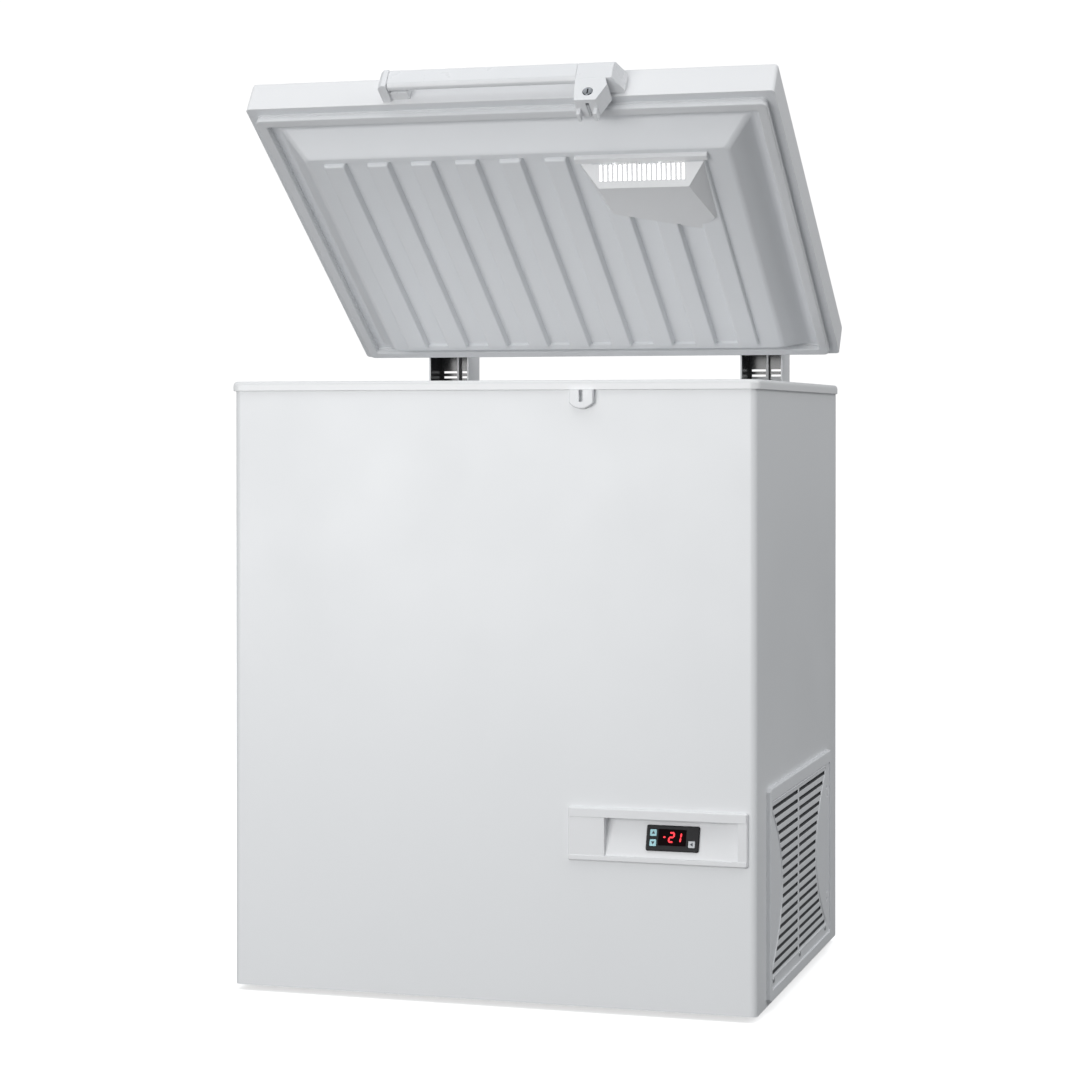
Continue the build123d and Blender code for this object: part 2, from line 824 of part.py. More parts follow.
def make_fan_blade():
    """A hub with flat pitched blades that narrow towards it."""
    hub = Rot(0, 90, 0) * form([ring(24, fan_sides, 2), ring(24, fan_sides, 15), ring(21, fan_sides, 18)])
    outline = [(-13, 21), (13, 21), (24, fan_radius - 8), (18, fan_radius), (-18, fan_radius),
               (-24, fan_radius - 12)]
    blade = Pos(-fan_blade_sheet / 2, 0, 0) * extrude(hinge_profile(outline), fan_blade_sheet)
    blade = Pos(10, 0, 0) * Rot(0, 0, fan_blade_pitch) * blade
    wheel = hub.fuse(*[Rot(i * 360 / fan_blades, 0, 0) * blade for i in range(fan_blades)])
    wheel -= Rot(0, 90, 0) * Cylinder(fan_shaft_radius + running_clearance, 80)
    return Pos(fan_x, 0, base_z + fan_height) * wheel


def condenser_low():
    return pan_top + 26


def make_condenser_tube():
    """A flat tube folded back and forth, standing on two feet."""
    half = condenser_pass_length / 2
    points = []
    for i in range(condenser_passes):
        z = condenser_low() + i * condenser_pitch
        side = 1 if i % 2 else -1
        points += [(side * half, z), (-side * half, z)]
    band = trace(Polyline(*bent_points(points, condenser_pitch / 2)), line_width=condenser_tube)
    plane = Plane(origin=(condenser_x - condenser_depth / 2, 0, 0), x_dir=(0, 1, 0), z_dir=(1, 0, 0))
    tube = extrude(plane * band, condenser_depth)
    low = condenser_low()
    inlet = prism_bar((condenser_x, -half - 12, low), (condenser_x, -half + 1, low), 5)
    top = condenser_low() + (condenser_passes - 1) * condenser_pitch
    side = 1 if condenser_passes % 2 else -1
    outlet = prism_bar((condenser_x, side * half + side * 12, top), (condenser_x, side * half - side, top), 5)
    return tube.fuse(inlet, outlet, *condenser_brackets())


def make_condenser_fins():
    """Folded fin strips between the passes."""
    half = condenser_pass_length / 2 - condenser_pitch / 2 - 4
    folds = 9
    step = 2 * half / folds
    gap = condenser_pitch - condenser_tube
    strips = []
    for i in range(condenser_passes - 1):
        low = condenser_low() + i * condenser_pitch + condenser_tube / 2 + 0.1
        high = low + gap - 0.2
        points = [(-half + k * step, low + 0.4 if k % 2 else high - 0.4) for k in range(folds + 1)]
        zigzag = Polyline(*points)
        ribbon = trace(zigzag, line_width=0.8)
        frame = Plane(origin=(condenser_x - condenser_depth / 2, 0, 0), x_dir=(0, 1, 0), z_dir=(1, 0, 0))
        trimmed = extrude(frame * ribbon, condenser_depth)
        trimmed &= block((0, right_x), (-half - 4, half + 4), (low, high))
        strips += trimmed.solids()
    return group(strips)


def condenser_brackets():
    """Two folded brackets under the lowest pass."""
    half = condenser_pass_length / 2 - condenser_pitch
    low = condenser_low() - condenser_tube / 2
    x_span = (condenser_x - condenser_depth / 2, condenser_x + condenser_depth / 2)
    brackets = []
    for side in (-1, 1):
        y = side * half
        out = sorted((y, y + side * 14))
        brackets.append(block(x_span, (y - 1, y + 1), (pan_top, low)))
        brackets.append(block(x_span, out, (pan_top, pan_top + 2)))
        brackets.append(block(x_span, out, (low - 2, low)))
    return brackets


def drier_place():
    """Where the filter drier's middle stands."""
    return condenser_x - 168, back_y - 98, pan_top + 62


def make_filter_drier():
    body = form([ring(6, turned_sides, -45), ring(15, turned_sides, -38), ring(15, turned_sides, 38),
                 ring(6, turned_sides, 45)])
    top = prism_bar((0, 0, 44), (0, 0, drier_reach), pipe_radius)
    leg = prism_bar((0, 0, -drier_place()[2] + pan_top), (0, 0, -44), 9)
    side = prism_bar((0, 0, -30), (22, 0, -30), 3)
    return Pos(*drier_place()) * (body + top + leg + side)


def make_discharge_pipe():
    """From the compressor's outlet stub to the condenser's inlet."""
    half = condenser_pass_length / 2
    start = discharge_stub()[1]
    low = condenser_low()
    drop_x = condenser_x - condenser_depth / 2 - 23
    far_y = -half - 40
    points = [start, (start[0], start[1] - 95, start[2]), (drop_x, far_y, start[2]), (drop_x, far_y, low),
              (condenser_x, far_y, low), (condenser_x, -half - 12, low)]
    return tube_along(points, pipe_radius, 12)


def make_suction_pipe():
    """From the evaporator's tail to the compressor's suction stub."""
    x, y = suction_place()
    end = suction_stub()[1]
    points = [(x, y, deck_z + 2), (x, y, end[2]), (end[0] - 60, end[1], end[2]), end]
    return tube_along(points, pipe_radius, 18)


def make_liquid_line():
    """From the condenser's outlet to the top of the drier."""
    half = condenser_pass_length / 2
    top = condenser_low() + (condenser_passes - 1) * condenser_pitch
    x, y, z = drier_place()
    rise = z + drier_reach + 30
    points = [(condenser_x, half + 12, top), (condenser_x, half + 44, top),
              (condenser_x - 68, half + 51, rise), (x, y, rise), (x, y, z + drier_reach)]
    return tube_along(points, thin_pipe_radius + 1, 10)


def make_capillary():
    """From the drier's side stub up to the evaporator's other tail."""
    x, y = capillary_place()
    drier_x, drier_y, drier_z = drier_place()
    stub_z = drier_z - 30
    turn_x = drier_x + 60
    points = [(x, y, deck_z + 2), (x, y, deck_z - 16), (turn_x, drier_y, deck_z - 48),
              (turn_x, drier_y, stub_z), (drier_x + 22, drier_y, stub_z)]
    return tube_along(points, thin_pipe_radius, 8)


def inlet_span(grow):
    return (-262 - grow, -214 + grow)


def inlet_z_span(grow):
    return (base_z + 40 - grow, base_z + 68 + grow)


def make_mains_inlet():
    """A recessed three-blade inlet with a flange on the rear cover."""
    x_span = inlet_span(0)
    z_span = inlet_z_span(0)
    x = (x_span[0] + x_span[1]) / 2
    z = (z_span[0] + z_span[1]) / 2
    flange = block((x_span[0] - 4, x_span[1] + 4), (back_y, back_y + 3), (z_span[0] - 4, z_span[1] + 4))
    flange = chamfer(flange.edges().filter_by(Axis.Y), 3)
    body = block(x_span, (back_y - 30, back_y), z_span)
    socket = block((x - 13, x + 13), (back_y - 22, back_y + 4), (z - 9, z + 9))
    socket = chamfer(socket.edges().filter_by(Axis.Y).sort_by(Axis.Z)[-2:], 4)
    inlet = flange + body - socket
    for dx, dz in ((-7, -1.5), (0, 2.5), (7, -1.5)):
        inlet += block((x + dx - 1, x + dx + 1), (back_y - 23, back_y - 6), (z + dz - 2, z + dz + 2))
    return inlet


# Hinges

def hinge_profile(points):
    """A closed outline in the YZ plane."""
    outline = Polyline(*points, close=True)
    return Plane(origin=(0, 0, 0), x_dir=(0, 1, 0), z_dir=(1, 0, 0)) * make_face(outline.edges())


def make_hinge_bracket(x):
    half = hinge_inner_width / 2
    web_y = hinge_y + hinge_pin_radius + 6
    foot_low = rim_under - hinge_foot_drop
    shoulder = rim_under - 4
    ear_y = rim_back_y + 1.5
    top = hinge_z + 15
    points = [(back_y, foot_low), (back_y, shoulder), (ear_y, shoulder + 4), (ear_y, top - 12),
              (ear_y + 12, top), (web_y - 6, top), (web_y + hinge_sheet, top - 8),
              (web_y + hinge_sheet, foot_low + 40), (back_y + 12, foot_low)]
    outline = hinge_profile(points)
    body = Pos(-half - hinge_sheet, 0, 0) * extrude(outline, hinge_inner_width + 2 * hinge_sheet)
    hollow_points = [(back_y - 1, foot_low - 1), (back_y - 1, top + 1), (web_y, top + 1),
                     (web_y, foot_low + 40), (back_y + 10, foot_low - 1)]
    body -= Pos(-half, 0, 0) * extrude(hinge_profile(hollow_points), hinge_inner_width)
    for side in (-1, 1):
        edge = side * (half + hinge_sheet)
        far = edge + side * hinge_foot_width
        foot = block((min(edge, far), max(edge, far)), (back_y, back_y + hinge_sheet), (foot_low, shoulder))
        body += foot
    rib = block((-1.5, 1.5), (web_y - 8, web_y), (foot_low + 60, hinge_z - 22))
    body += rib
    for row in range(2):
        z = rim_top + 15 + row * 8
        for side in (-1, 1):
            middle = side * half / 2
            body -= block((middle - 11, middle + 11), (web_y - 1, web_y + 4), (z, z + 3.2))
    body -= prism_bar((-half - 5, hinge_y, hinge_z), (half + 5, hinge_y, hinge_z),
                      (hinge_pin_radius + running_clearance) / math.cos(math.pi / turned_sides), turned_sides)
    placed = Pos(x, 0, 0) * body
    for hole_x, hole_z in bracket_screw_places():
        placed -= prism_bar((hole_x, back_y - 1, hole_z), (hole_x, back_y + 5, hole_z), hinge_screw_radius)
    return placed


def bracket_screw_places():
    """The screws through the feet of both hinge brackets."""
    out = hinge_inner_width / 2 + hinge_sheet + hinge_foot_width / 2
    heights = (rim_under - hinge_foot_drop + 14, rim_under - 22)
    return [(x + side * out, z) for x in hinge_places() for side in (-1, 1) for z in heights]


def make_bracket_screws():
    one = screw(5.0, 3.0, hinge_screw_radius - fastener_gap, hinge_sheet + sheet)
    return group([Pos(x, back_y + hinge_sheet, z) * Rot(-90, 0, 0) * one for x, z in bracket_screw_places()])


def make_hinge_pin(x):
    half = hinge_inner_width / 2 + hinge_sheet
    pin = round_bar((x - half, hinge_y, hinge_z), (x + half, hinge_y, hinge_z), hinge_pin_radius)
    for side in (-1, 1):
        pin += prism_bar((x + side * half, hinge_y, hinge_z), (x + side * (half + 3), hinge_y, hinge_z),
                         hinge_pin_radius + 2.5)
    return pin


def arm_lug_place():
    return hinge_inner_width / 2 - 6


def make_hinge_spring(x):
    """A closely wound torsion spring round the pin, between the arm's lugs, drawn as its ridges."""
    room = arm_lug_place() - 4
    inner = (hinge_pin_radius + 0.3) / math.cos(math.pi / turned_sides)
    outer = inner + spring_wire
    valleys = [-room + 2 * room * i / spring_coils for i in range(spring_coils + 1)]
    sections = [ring(outer - 1, turned_sides, valleys[0])]
    for low, high in zip(valleys, valleys[1:]):
        sections.append(ring(outer, turned_sides, (low + high) / 2))
        sections.append(ring(outer - 1, turned_sides, high))
    bore = form([ring(inner, turned_sides, -room - 1), ring(inner, turned_sides, room + 1)])
    return Pos(x, hinge_y, hinge_z) * Rot(0, 90, 0) * (form(sections) - bore)


def make_hinge_arm(x):
    """A leaf on the lid's back face with two lugs round the pin."""
    leaf_y = lid_back_y
    low = lid_low + 3
    high = lid_top - 4
    half = hinge_inner_width / 2 - 1
    arm = block((-half, half), (leaf_y, leaf_y + 3), (low, high))
    lug_radius = hinge_pin_radius + 4.5
    for side in (-1, 1):
        lug_x = side * arm_lug_place()
        outline = Polyline((leaf_y + 3, high), (leaf_y + 3, low + 4), (hinge_y + lug_radius * 0.7,
                           hinge_z - lug_radius * 0.7), (hinge_y - lug_radius * 0.7,
                           hinge_z + lug_radius * 0.7), close=True)
        plane = Plane(origin=(lug_x - 1.5, 0, 0), x_dir=(0, 1, 0), z_dir=(1, 0, 0))
        face = plane * make_face(outline.edges())
        eye = prism_bar((lug_x - 1.5, hinge_y, hinge_z), (lug_x + 1.5, hinge_y, hinge_z), lug_radius,
                        turned_sides)
        arm += extrude(face, 3) + eye
    arm -= round_bar((-half - 5, hinge_y, hinge_z), (half + 5, hinge_y, hinge_z),
                     hinge_pin_radius + running_clearance)
    for place in arm_screw_places():
        arm -= prism_bar((place[0], leaf_y - 1, place[1]), (place[0], leaf_y + 5, place[1]),
                         hinge_screw_radius)
    return Pos(x, 0, 0) * arm


def arm_screw_places():
    return [(side * 11, z) for side in (-1, 1) for z in (lid_low + 12, lid_low + 30)]


def make_arm_screws():
    one = screw(4.5, 2.6, hinge_screw_radius - fastener_gap, 3)
    places = [(x + dx, z) for x in hinge_places() for dx, z in arm_screw_places()]
    return group([Pos(x, lid_back_y + 3, z) * Rot(-90, 0, 0) * one for x, z in places])


# Lid

def make_lid_skin():
    edge = lid_edge - 1
    levels = ((lid_low, 0), (lid_top - edge, 0), (lid_top - 0.3 * edge, 0.3 * edge), (lid_top, edge))
    outer = soft_block(lid_width, lid_depth, lid_edge, levels, lid_middle_y)
    return outer - lid_inside(lid_low - 1, lid_top - sheet, lid_edge - 2)


def lid_inside(low, high, ease):
    """What fills the lid between two heights, with its upper edges eased."""
    levels = ((low, 0), (high - ease, 0), (high, ease)) if ease else ((low, 0), (high, 0))
    return soft_block(lid_width - 2 * sheet, lid_depth - 2 * sheet, lid_edge - sheet, levels, lid_middle_y)


def plug(shrink):
    """The ribbed plug under the lid, pulled in by a wall."""
    width = lid_width - 2 * plug_side_margin - 2 * shrink
    depth = plug_back_y - plug_front_y - 2 * shrink
    drop = plug_drop - shrink
    middle_y = (plug_back_y + plug_front_y) / 2
    slope_in = 2 * plug_drop
    face = lid_low - drop
    body = form([soft_rectangle(width - slope_in, depth - slope_in, plug_corner, face, middle_y),
                 soft_rectangle(width, depth, plug_corner, lid_low + liner_thickness, middle_y)])
    rib_front = plug_front_y + plug_drop + rib_front_gap + shrink
    rib_back = plug_back_y - plug_drop - rib_back_gap - shrink
    rib_middle = (rib_front + rib_back) / 2
    length = rib_back - rib_front
    for i in range(rib_count):
        x = (i - (rib_count - 1) / 2) * rib_pitch
        body += drafted_block(x, rib_middle, rib_width - 2 * shrink, length, face + 1, face - rib_height,
                              rib_draft)
    groove_width = rib_pitch - rib_width - 1
    for i in range(rib_count - 1):
        x = (i + 1 - rib_count / 2) * rib_pitch
        body -= drafted_block(x, rib_middle, groove_width + 2 * shrink, length + 4 * shrink, face - 1,
                              face + groove_depth, rib_draft)
    return body


def make_lid_liner():
    flange = lid_inside(lid_low, lid_low + liner_thickness, 0)
    return flange + plug(0) - plug(liner_thickness)


def make_lid_foam():
    block_part = lid_inside(lid_low + liner_thickness, lid_top - sheet, lid_edge - 2)
    return block_part + plug(liner_thickness)


def make_gasket():
    low = rim_top + gasket_clearance
    width = lid_width - 2 * gasket_inset
    depth = lid_depth - 2 * gasket_inset - 1
    middle_y = lid_middle_y + 0.5
    levels = ((low, gasket_slope), (low + gasket_slope, 0), (lid_low, 0))
    outer = soft_block(width, depth, 8, levels, middle_y)
    hole_levels = ((low - 1, -gasket_slope - 1), (low + gasket_slope, 0), (lid_low + 1, 0))
    hole = soft_block(width - 2 * gasket_width, depth - 2 * gasket_width, 4, hole_levels, middle_y)
    return outer - hole


def lamp_outline():
    """The corners of the lamp housing's foot on the plug face, seen from above."""
    far = lid_back_y
    return [(lamp_left, far - lamp_front), (lamp_right, far - lamp_front),
            (lamp_right - 3, far - lamp_side_back), (lamp_right - lamp_tip_in, far - lamp_tip_back),
            (lamp_left + lamp_left_in, far - lamp_left_back)]


def lamp_form(inset):
    """The drafted lamp box, cut off by its sloped outer face."""
    pull = lamp_height * math.tan(math.radians(lamp_draft))
    sections = []
    for z, distance in ((plug_face_z, inset), (plug_face_z - lamp_height, inset + pull)):
        sections.append([(x, y, z) for x, y in inset_points(lamp_outline(), distance)])
    lip_y = lid_back_y - lamp_front + pull
    cut = Pos(0, lip_y, plug_face_z - lamp_height + inset) * Rot(lamp_face_tilt, 0, 0)
    return form(sections) - cut * Pos(200, 0, -50) * Box(500, 600, 100)


def lamp_slot_x(i):
    middle = (lamp_left + lamp_right) / 2
    return middle + (i - (lamp_slots - 1) / 2) * lamp_slot_pitch


def make_lamp_housing():
    housing = lamp_form(0) - lamp_form(lamp_wall)
    front = lid_back_y - lamp_front
    for i in range(lamp_slots):
        x = lamp_slot_x(i)
        housing -= block((x - lamp_slot_width / 2, x + lamp_slot_width / 2), (front - 2, front + 27),
                         (plug_face_z - 24, plug_face_z - 6))
    return housing - rib_room()


def rib_room():
    """The ribs and grooves that the housing stands over."""
    return plug(0)


def make_lamp_diffuser():
    front = lid_back_y - lamp_front
    half = lamp_slots * lamp_slot_pitch / 2 + 2
    middle = (lamp_left + lamp_right) / 2
    slope = math.tan(math.radians(lamp_draft))
    low, high = plug_face_z - 25, plug_face_z - 2
    wall = lamp_wall / math.cos(math.radians(lamp_draft))
    inner = front + wall + 0.1
    points = [(inner + (plug_face_z - high) * slope, high), (inner + (plug_face_z - low) * slope, low),
              (inner + 2 + (plug_face_z - low) * slope, low),
              (inner + 2 + (plug_face_z - high) * slope, high)]
    face = hinge_profile(points)
    return Pos(middle - half, 0, 0) * extrude(face, 2 * half) - rib_room()


def make_lamp_board():
    front = lid_back_y - lamp_front
    middle = (lamp_left + lamp_right) / 2
    half = lamp_slots * lamp_slot_pitch / 2 - 6
    top = plug_face_z - rib_height - 0.1
    board = block((middle - half, middle + half), (front + 34, front + 58), (top - 1.6, top))
    for i in range(6):
        x = middle + (i - 2.5) * 18
        board += block((x - 2.5, x + 2.5), (front + 36, front + 41), (top - 3.4, top - 1.6))
    return board


# Handle and lock

def handle_z():
    return lid_low + handle_rise


def make_handle_bar():
    y_span = (lid_front_y - handle_reach, lid_front_y - handle_reach + handle_bar_thickness)
    x_span = (handle_left + handle_end, handle_bar_right)
    bar = block(x_span, y_span, (handle_z(), handle_z() + handle_bar_height))
    long_edges = bar.edges().filter_by(Axis.X)
    lower_front = long_edges.sort_by(lambda edge: edge.center().Y + edge.center().Z)[0]
    bar = chamfer(lower_front, 5)
    back_edges = bar.edges().filter_by(Axis.X).group_by(Axis.Y)[-1]
    return chamfer(back_edges, 2)


def make_handle_left():
    front = lid_front_y - handle_reach - 1
    x_span = (handle_left, handle_left + handle_end)
    plate = block(x_span, (front, lid_front_y), (handle_z() - 1, handle_z() + handle_bar_height + 1))
    plate = chamfer(plate.edges().group_by(Axis.X)[0].filter_by(Axis.Z).sort_by(Axis.Y)[0], 6)
    wing = block((x_span[1], x_span[1] + 26), (lid_front_y - 14, lid_front_y),
                 (handle_z() + 3, handle_z() + handle_bar_height - 3))
    return plate + wing


def make_handle_block():
    front = lid_front_y - handle_reach - 1
    points = [(handle_bar_right, front), (handle_block_right, front),
              (handle_block_right + handle_block_flare, lid_front_y - 8),
              (handle_block_right + handle_block_flare, lid_front_y), (handle_bar_right, lid_front_y)]
    face = make_face(Polyline(*points, close=True).edges())
    low = handle_z() - 1
    solid = extrude(Pos(0, 0, low) * face, handle_bar_height + 2)
    return chamfer(solid.faces().sort_by(Axis.Z)[-1].edges().sort_by(Axis.Y)[0], 3)


def lock_front_y():
    return lid_front_y - handle_reach - 1


def make_lock_housing():
    """A tapered box under the right block, with two prongs at its foot."""
    top = handle_z() - 1
    low = top - lock_drop + prong_length
    left = lock_center - lock_width / 2
    outline = [(left, top), (left + lock_width, top), (left + lock_width + 4, top - 12),
               (left + lock_foot_width + 8, low), (left + 4, low)]
    plane = Plane(origin=(0, lid_front_y - 1, 0), x_dir=(1, 0, 0), z_dir=(0, -1, 0))
    face = make_face(Polyline(*outline, close=True).edges())
    depth = -(lock_front_y() - lid_front_y + 1)
    housing = extrude(plane * face, depth)
    prong_middle = left + 4 + (lock_foot_width + 4) / 2
    for side in (-1, 1):
        edge = prong_middle + side * prong_gap / 2
        far = edge + side * prong_width
        housing += block((min(edge, far), max(edge, far)), (lid_front_y - 16, lid_front_y - 1),
                         (low - prong_length, low))
    x, z = lock_axis()
    housing -= round_bar((x, lock_front_y() - 1, z), (x, lid_front_y - 8, z),
                         lock_cylinder_radius + running_clearance)
    housing -= prism_bar((lock_center, lid_front_y - lock_bolt_reach - 2, bolt_z),
                         (lock_center, lid_front_y + 1, bolt_z), lock_bolt_radius + 2 * running_clearance,
                         turned_sides)
    return housing


def lock_axis():
    return lock_center, lid_low - lock_cylinder_drop


def make_lock_cylinder():
    x, z = lock_axis()
    front = lock_front_y() - 0.6
    body = round_bar((x, front, z), (x, lid_front_y - 8.5, z), lock_cylinder_radius)
    body = chamfer(body.edges().sort_by(Axis.Y)[0], 0.8)
    key_way = block((x - 0.8, x + 0.8), (front - 1, front + 9), (z - 4, z + 4))
    return body - key_way


def make_lock_bolt():
    tip = lid_front_y - 1.2
    return prism_bar((lock_center, tip - lock_bolt_reach + 2, bolt_z), (lock_center, tip, bolt_z),
                     lock_bolt_radius, turned_sides)


def hinge_places():
    return (-hinge_spacing / 2, hinge_spacing / 2)


def open_lid(piece):
    """Turns a piece of the lid from shut to the open pose."""
    pose = Pos(0, hinge_y, hinge_z) * Rot(-lid_open_angle, 0, 0) * Pos(0, -hinge_y, -hinge_z)
    return group([pose * solid for solid in piece.solids()])


pieces["outer_wrap"] = make_outer_wrap()
pieces["back_panel"] = make_back_panel()
pieces["rear_cover"] = make_rear_cover()
pieces["rear_cover_screws"] = make_rear_cover_screws()
pieces["base_pan"] = make_base_pan()
pieces["feet"] = make_feet()
pieces["machine_deck"] = make_deck()
pieces["cabinet_foam"] = make_foam()
pieces["inner_liner"] = make_liner()
pieces["breaker_collar"] = make_collar()
pieces["rim_frame"] = make_rim()
pieces["evaporator_coil"] = make_evaporator()
pieces["temperature_probe"] = make_probe()
pieces["striker_plate"] = make_striker()
pieces["control_panel"] = make_control_panel()
pieces["controller_housing"] = make_controller()
pieces["display_window"] = make_window()
for button_name, button_place in button_places().items():
    pieces[button_name] = make_button(button_place)
pieces["side_grille"] = make_side_grille()
pieces["grille_screws"] = make_grille_screws()
pieces["compressor"] = make_compressor()
pieces["compressor_grommets"] = make_grommets()
pieces["terminal_cover"] = make_terminal_cover()
pieces["start_capacitor"] = make_capacitor()
pieces["fan_shroud"] = make_fan_shroud()
pieces["fan_motor"] = make_fan_motor()
pieces["fan_blades"] = make_fan_blade()
pieces["condenser_tube"] = make_condenser_tube()
pieces["condenser_fins"] = make_condenser_fins()
pieces["filter_drier"] = make_filter_drier()
pieces["discharge_pipe"] = make_discharge_pipe()
pieces["suction_pipe"] = make_suction_pipe()
pieces["liquid_line"] = make_liquid_line()
pieces["capillary_tube"] = make_capillary()
pieces["mains_inlet"] = make_mains_inlet()
for side_name, side_x in zip(("left", "right"), hinge_places()):
    pieces["hinge_bracket_" + side_name] = make_hinge_bracket(side_x)
    pieces["hinge_pin_" + side_name] = make_hinge_pin(side_x)
    pieces["hinge_spring_" + side_name] = make_hinge_spring(side_x)
pieces["hinge_bracket_screws"] = make_bracket_screws()

lid_pieces = {}
lid_pieces["lid_skin"] = make_lid_skin()
lid_pieces["lid_foam"] = make_lid_foam()
lid_pieces["lid_liner"] = make_lid_liner()
lid_pieces["lid_gasket"] = make_gasket()
lid_pieces["lamp_housing"] = make_lamp_housing()
lid_pieces["lamp_diffuser"] = make_lamp_diffuser()
lid_pieces["lamp_board"] = make_lamp_board()
lid_pieces["handle_bar"] = make_handle_bar()
lid_pieces["handle_left_bracket"] = make_handle_left()
lid_pieces["handle_right_block"] = make_handle_block()
lid_pieces["lock_housing"] = make_lock_housing()
lid_pieces["lock_cylinder"] = make_lock_cylinder()
lid_pieces["lock_bolt"] = make_lock_bolt()
for side_name, side_x in zip(("left", "right"), hinge_places()):
    lid_pieces["hinge_arm_" + side_name] = make_hinge_arm(side_x)
lid_pieces["hinge_arm_screws"] = make_arm_screws()

for name, piece in lid_pieces.items():
    pieces[name] = open_lid(piece)

boxes = [piece.bounding_box() for piece in pieces.values()]
x_middle = (min(box.min.X for box in boxes) + max(box.max.X for box in boxes)) / 2
y_middle = (min(box.min.Y for box in boxes) + max(box.max.Y for box in boxes)) / 2
origin = Pos(-x_middle, -y_middle, 0)

os.makedirs("parts", exist_ok=True)
for name, piece in pieces.items():
    solids = [origin * solid for solid in piece.solids()]
    node = solids[0] if len(solids) == 1 else Compound(solids)
    export_step(node, "parts/" + name + ".step")
print("origin moved by", origin.position.X, origin.position.Y)
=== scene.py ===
import json
import math

import bmesh
import bpy
from mathutils import Matrix, Vector


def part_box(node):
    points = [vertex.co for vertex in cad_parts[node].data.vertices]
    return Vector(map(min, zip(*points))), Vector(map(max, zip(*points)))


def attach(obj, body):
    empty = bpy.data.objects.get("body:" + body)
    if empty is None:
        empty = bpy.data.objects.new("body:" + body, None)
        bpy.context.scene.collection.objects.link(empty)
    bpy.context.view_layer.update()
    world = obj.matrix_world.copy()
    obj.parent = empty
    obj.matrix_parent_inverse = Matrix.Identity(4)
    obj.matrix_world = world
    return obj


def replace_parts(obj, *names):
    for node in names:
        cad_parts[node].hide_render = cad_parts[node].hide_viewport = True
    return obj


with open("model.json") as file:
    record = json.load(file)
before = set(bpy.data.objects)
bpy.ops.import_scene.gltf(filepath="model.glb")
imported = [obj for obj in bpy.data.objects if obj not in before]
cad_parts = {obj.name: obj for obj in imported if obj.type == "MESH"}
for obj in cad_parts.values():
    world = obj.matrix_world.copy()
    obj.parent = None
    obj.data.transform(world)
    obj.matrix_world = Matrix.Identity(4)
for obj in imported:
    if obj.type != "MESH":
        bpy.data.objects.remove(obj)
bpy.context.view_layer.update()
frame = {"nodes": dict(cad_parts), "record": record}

MM = 0.001
JOINTS = {joint["name"]: joint for joint in frame["record"]["behaviour"]["joints"]}
BODY_OF = {node: body for body, nodes in frame["record"]["behaviour"]["bodies"].items()
           for node in nodes}

# Camera, fitted to the photograph's straight edges
CAMERA_PLACE = Vector((1.06226, -3.63828, 0.77515))
CAMERA_YAW = math.radians(-16.58)
CAMERA_PITCH = math.radians(-0.337)
SENSOR = 36.0
FRAME_PIXELS = 1080
FOCAL_PIXELS = 2618.6
HORIZON_PIXEL = 440.7

# The lid's turn from shut to the photograph's pose
HINGE = Vector(JOINTS["lid_hinge"]["pos_m"])
OPEN_ANGLE = -math.radians(JOINTS["lid_hinge"]["range_deg"][0])
OPENED = (Matrix.Translation(HINGE) @ Matrix.Rotation(-OPEN_ANGLE, 4, "X")
          @ Matrix.Translation(-HINGE))
SHUT = OPENED.inverted()

# Light of the studio: what the camera sees of it, and what it throws on the freezer
SEEN_WHITE = 1.05
SKY_LOW, SKY_HIGH = 0.26, 0.72
SKY_TINT = (0.95, 0.975, 1.0, 1)
FLOOR_HALF = 14
FLOOR_SEEN = (0.9, 0.9, 0.9, 1)
FLOOR_BOUNCE = (0.24, 0.24, 0.24, 1)
FLOOR_LIFT = 0.62
OVER_CHAMBER_Y = HINGE.y - 0.34
# Place, target, size and power
LIGHTS = {
    "front_softbox": ((-1.3, -4.3, 0.85), (0, 0, 0.8), (2.6, 1.6), 79),
    "top_softbox": ((-0.3, -1.2, 3.2), (0, 0, 0.8), (2.4, 1.6), 10),
    "side_softbox": ((3.4, -0.4, 2.5), (0.4, 0, 0.9), (1.8, 1.8), 25),
    "chamber_bounce": ((0, OVER_CHAMBER_Y, 0.8), (0, OVER_CHAMBER_Y, 2.0), (0.6, 0.45), 0.33),
}

# Sizes of the freezer in millimetres, in the same frame as its drawing
CABINET_WIDTH = 730.0
CABINET_DEPTH = 576.0
CORNER_RADIUS = 9.0
RIM_UNDER = 822.0
RIM_TOP = 835.0
RIM_OVERHANG = 4.0
RIM_ROUND = 5.5
OPENING_WIDTH = 676.0
OPENING_DEPTH = 526.0
OPENING_SHIFT = 1.0
COLLAR_DROP = 58.0
LINER_SHEET = 1.6
CHAMBER_CORNER = 24.0
CHAMBER_FLOOR = 385.0
FLOOR_ROUND = 10.0
LID_WIDTH = 750.0
LID_DEPTH = 592.0
LID_THICKNESS = 48.0
LID_LOW = 847.0
LID_EDGE = 5.0
SHEET = 1.2
PLUG_DROP = 33.0
PLUG_CORNER = 8.0
PLUG_ROUND = 5.0
PLUG_SIDE_GAP = 38.0
PLUG_FRONT_GAP = 41.0
PLUG_BACK_GAP = 28.0
RIB_COUNT = 9
RIB_WIDTH = 32.0
RIB_PITCH = 64.5
RIB_SHIFT = -4.0
RIB_HEIGHT = 6.0
RIB_DRAFT = 2.4
RIB_FRONT_GAP = 9.0
RIB_BACK_GAP = 12.0
GROOVE_DEPTH = 4.0
GASKET_WIDTH = 14.0
GASKET_CORNER = 8.0
LAMP_LEFT = 90.0
LAMP_RIGHT = 272.0
LAMP_FRONT = 503.0
HINGE_REACH = 48.0
HINGE_HALF = 30.0
HINGE_X = {"hinge_bracket_left": -250.0, "hinge_bracket_right": 250.0}
HINGE_PIN_RADIUS = 5.0
BRACKET_SHEET = 1.7
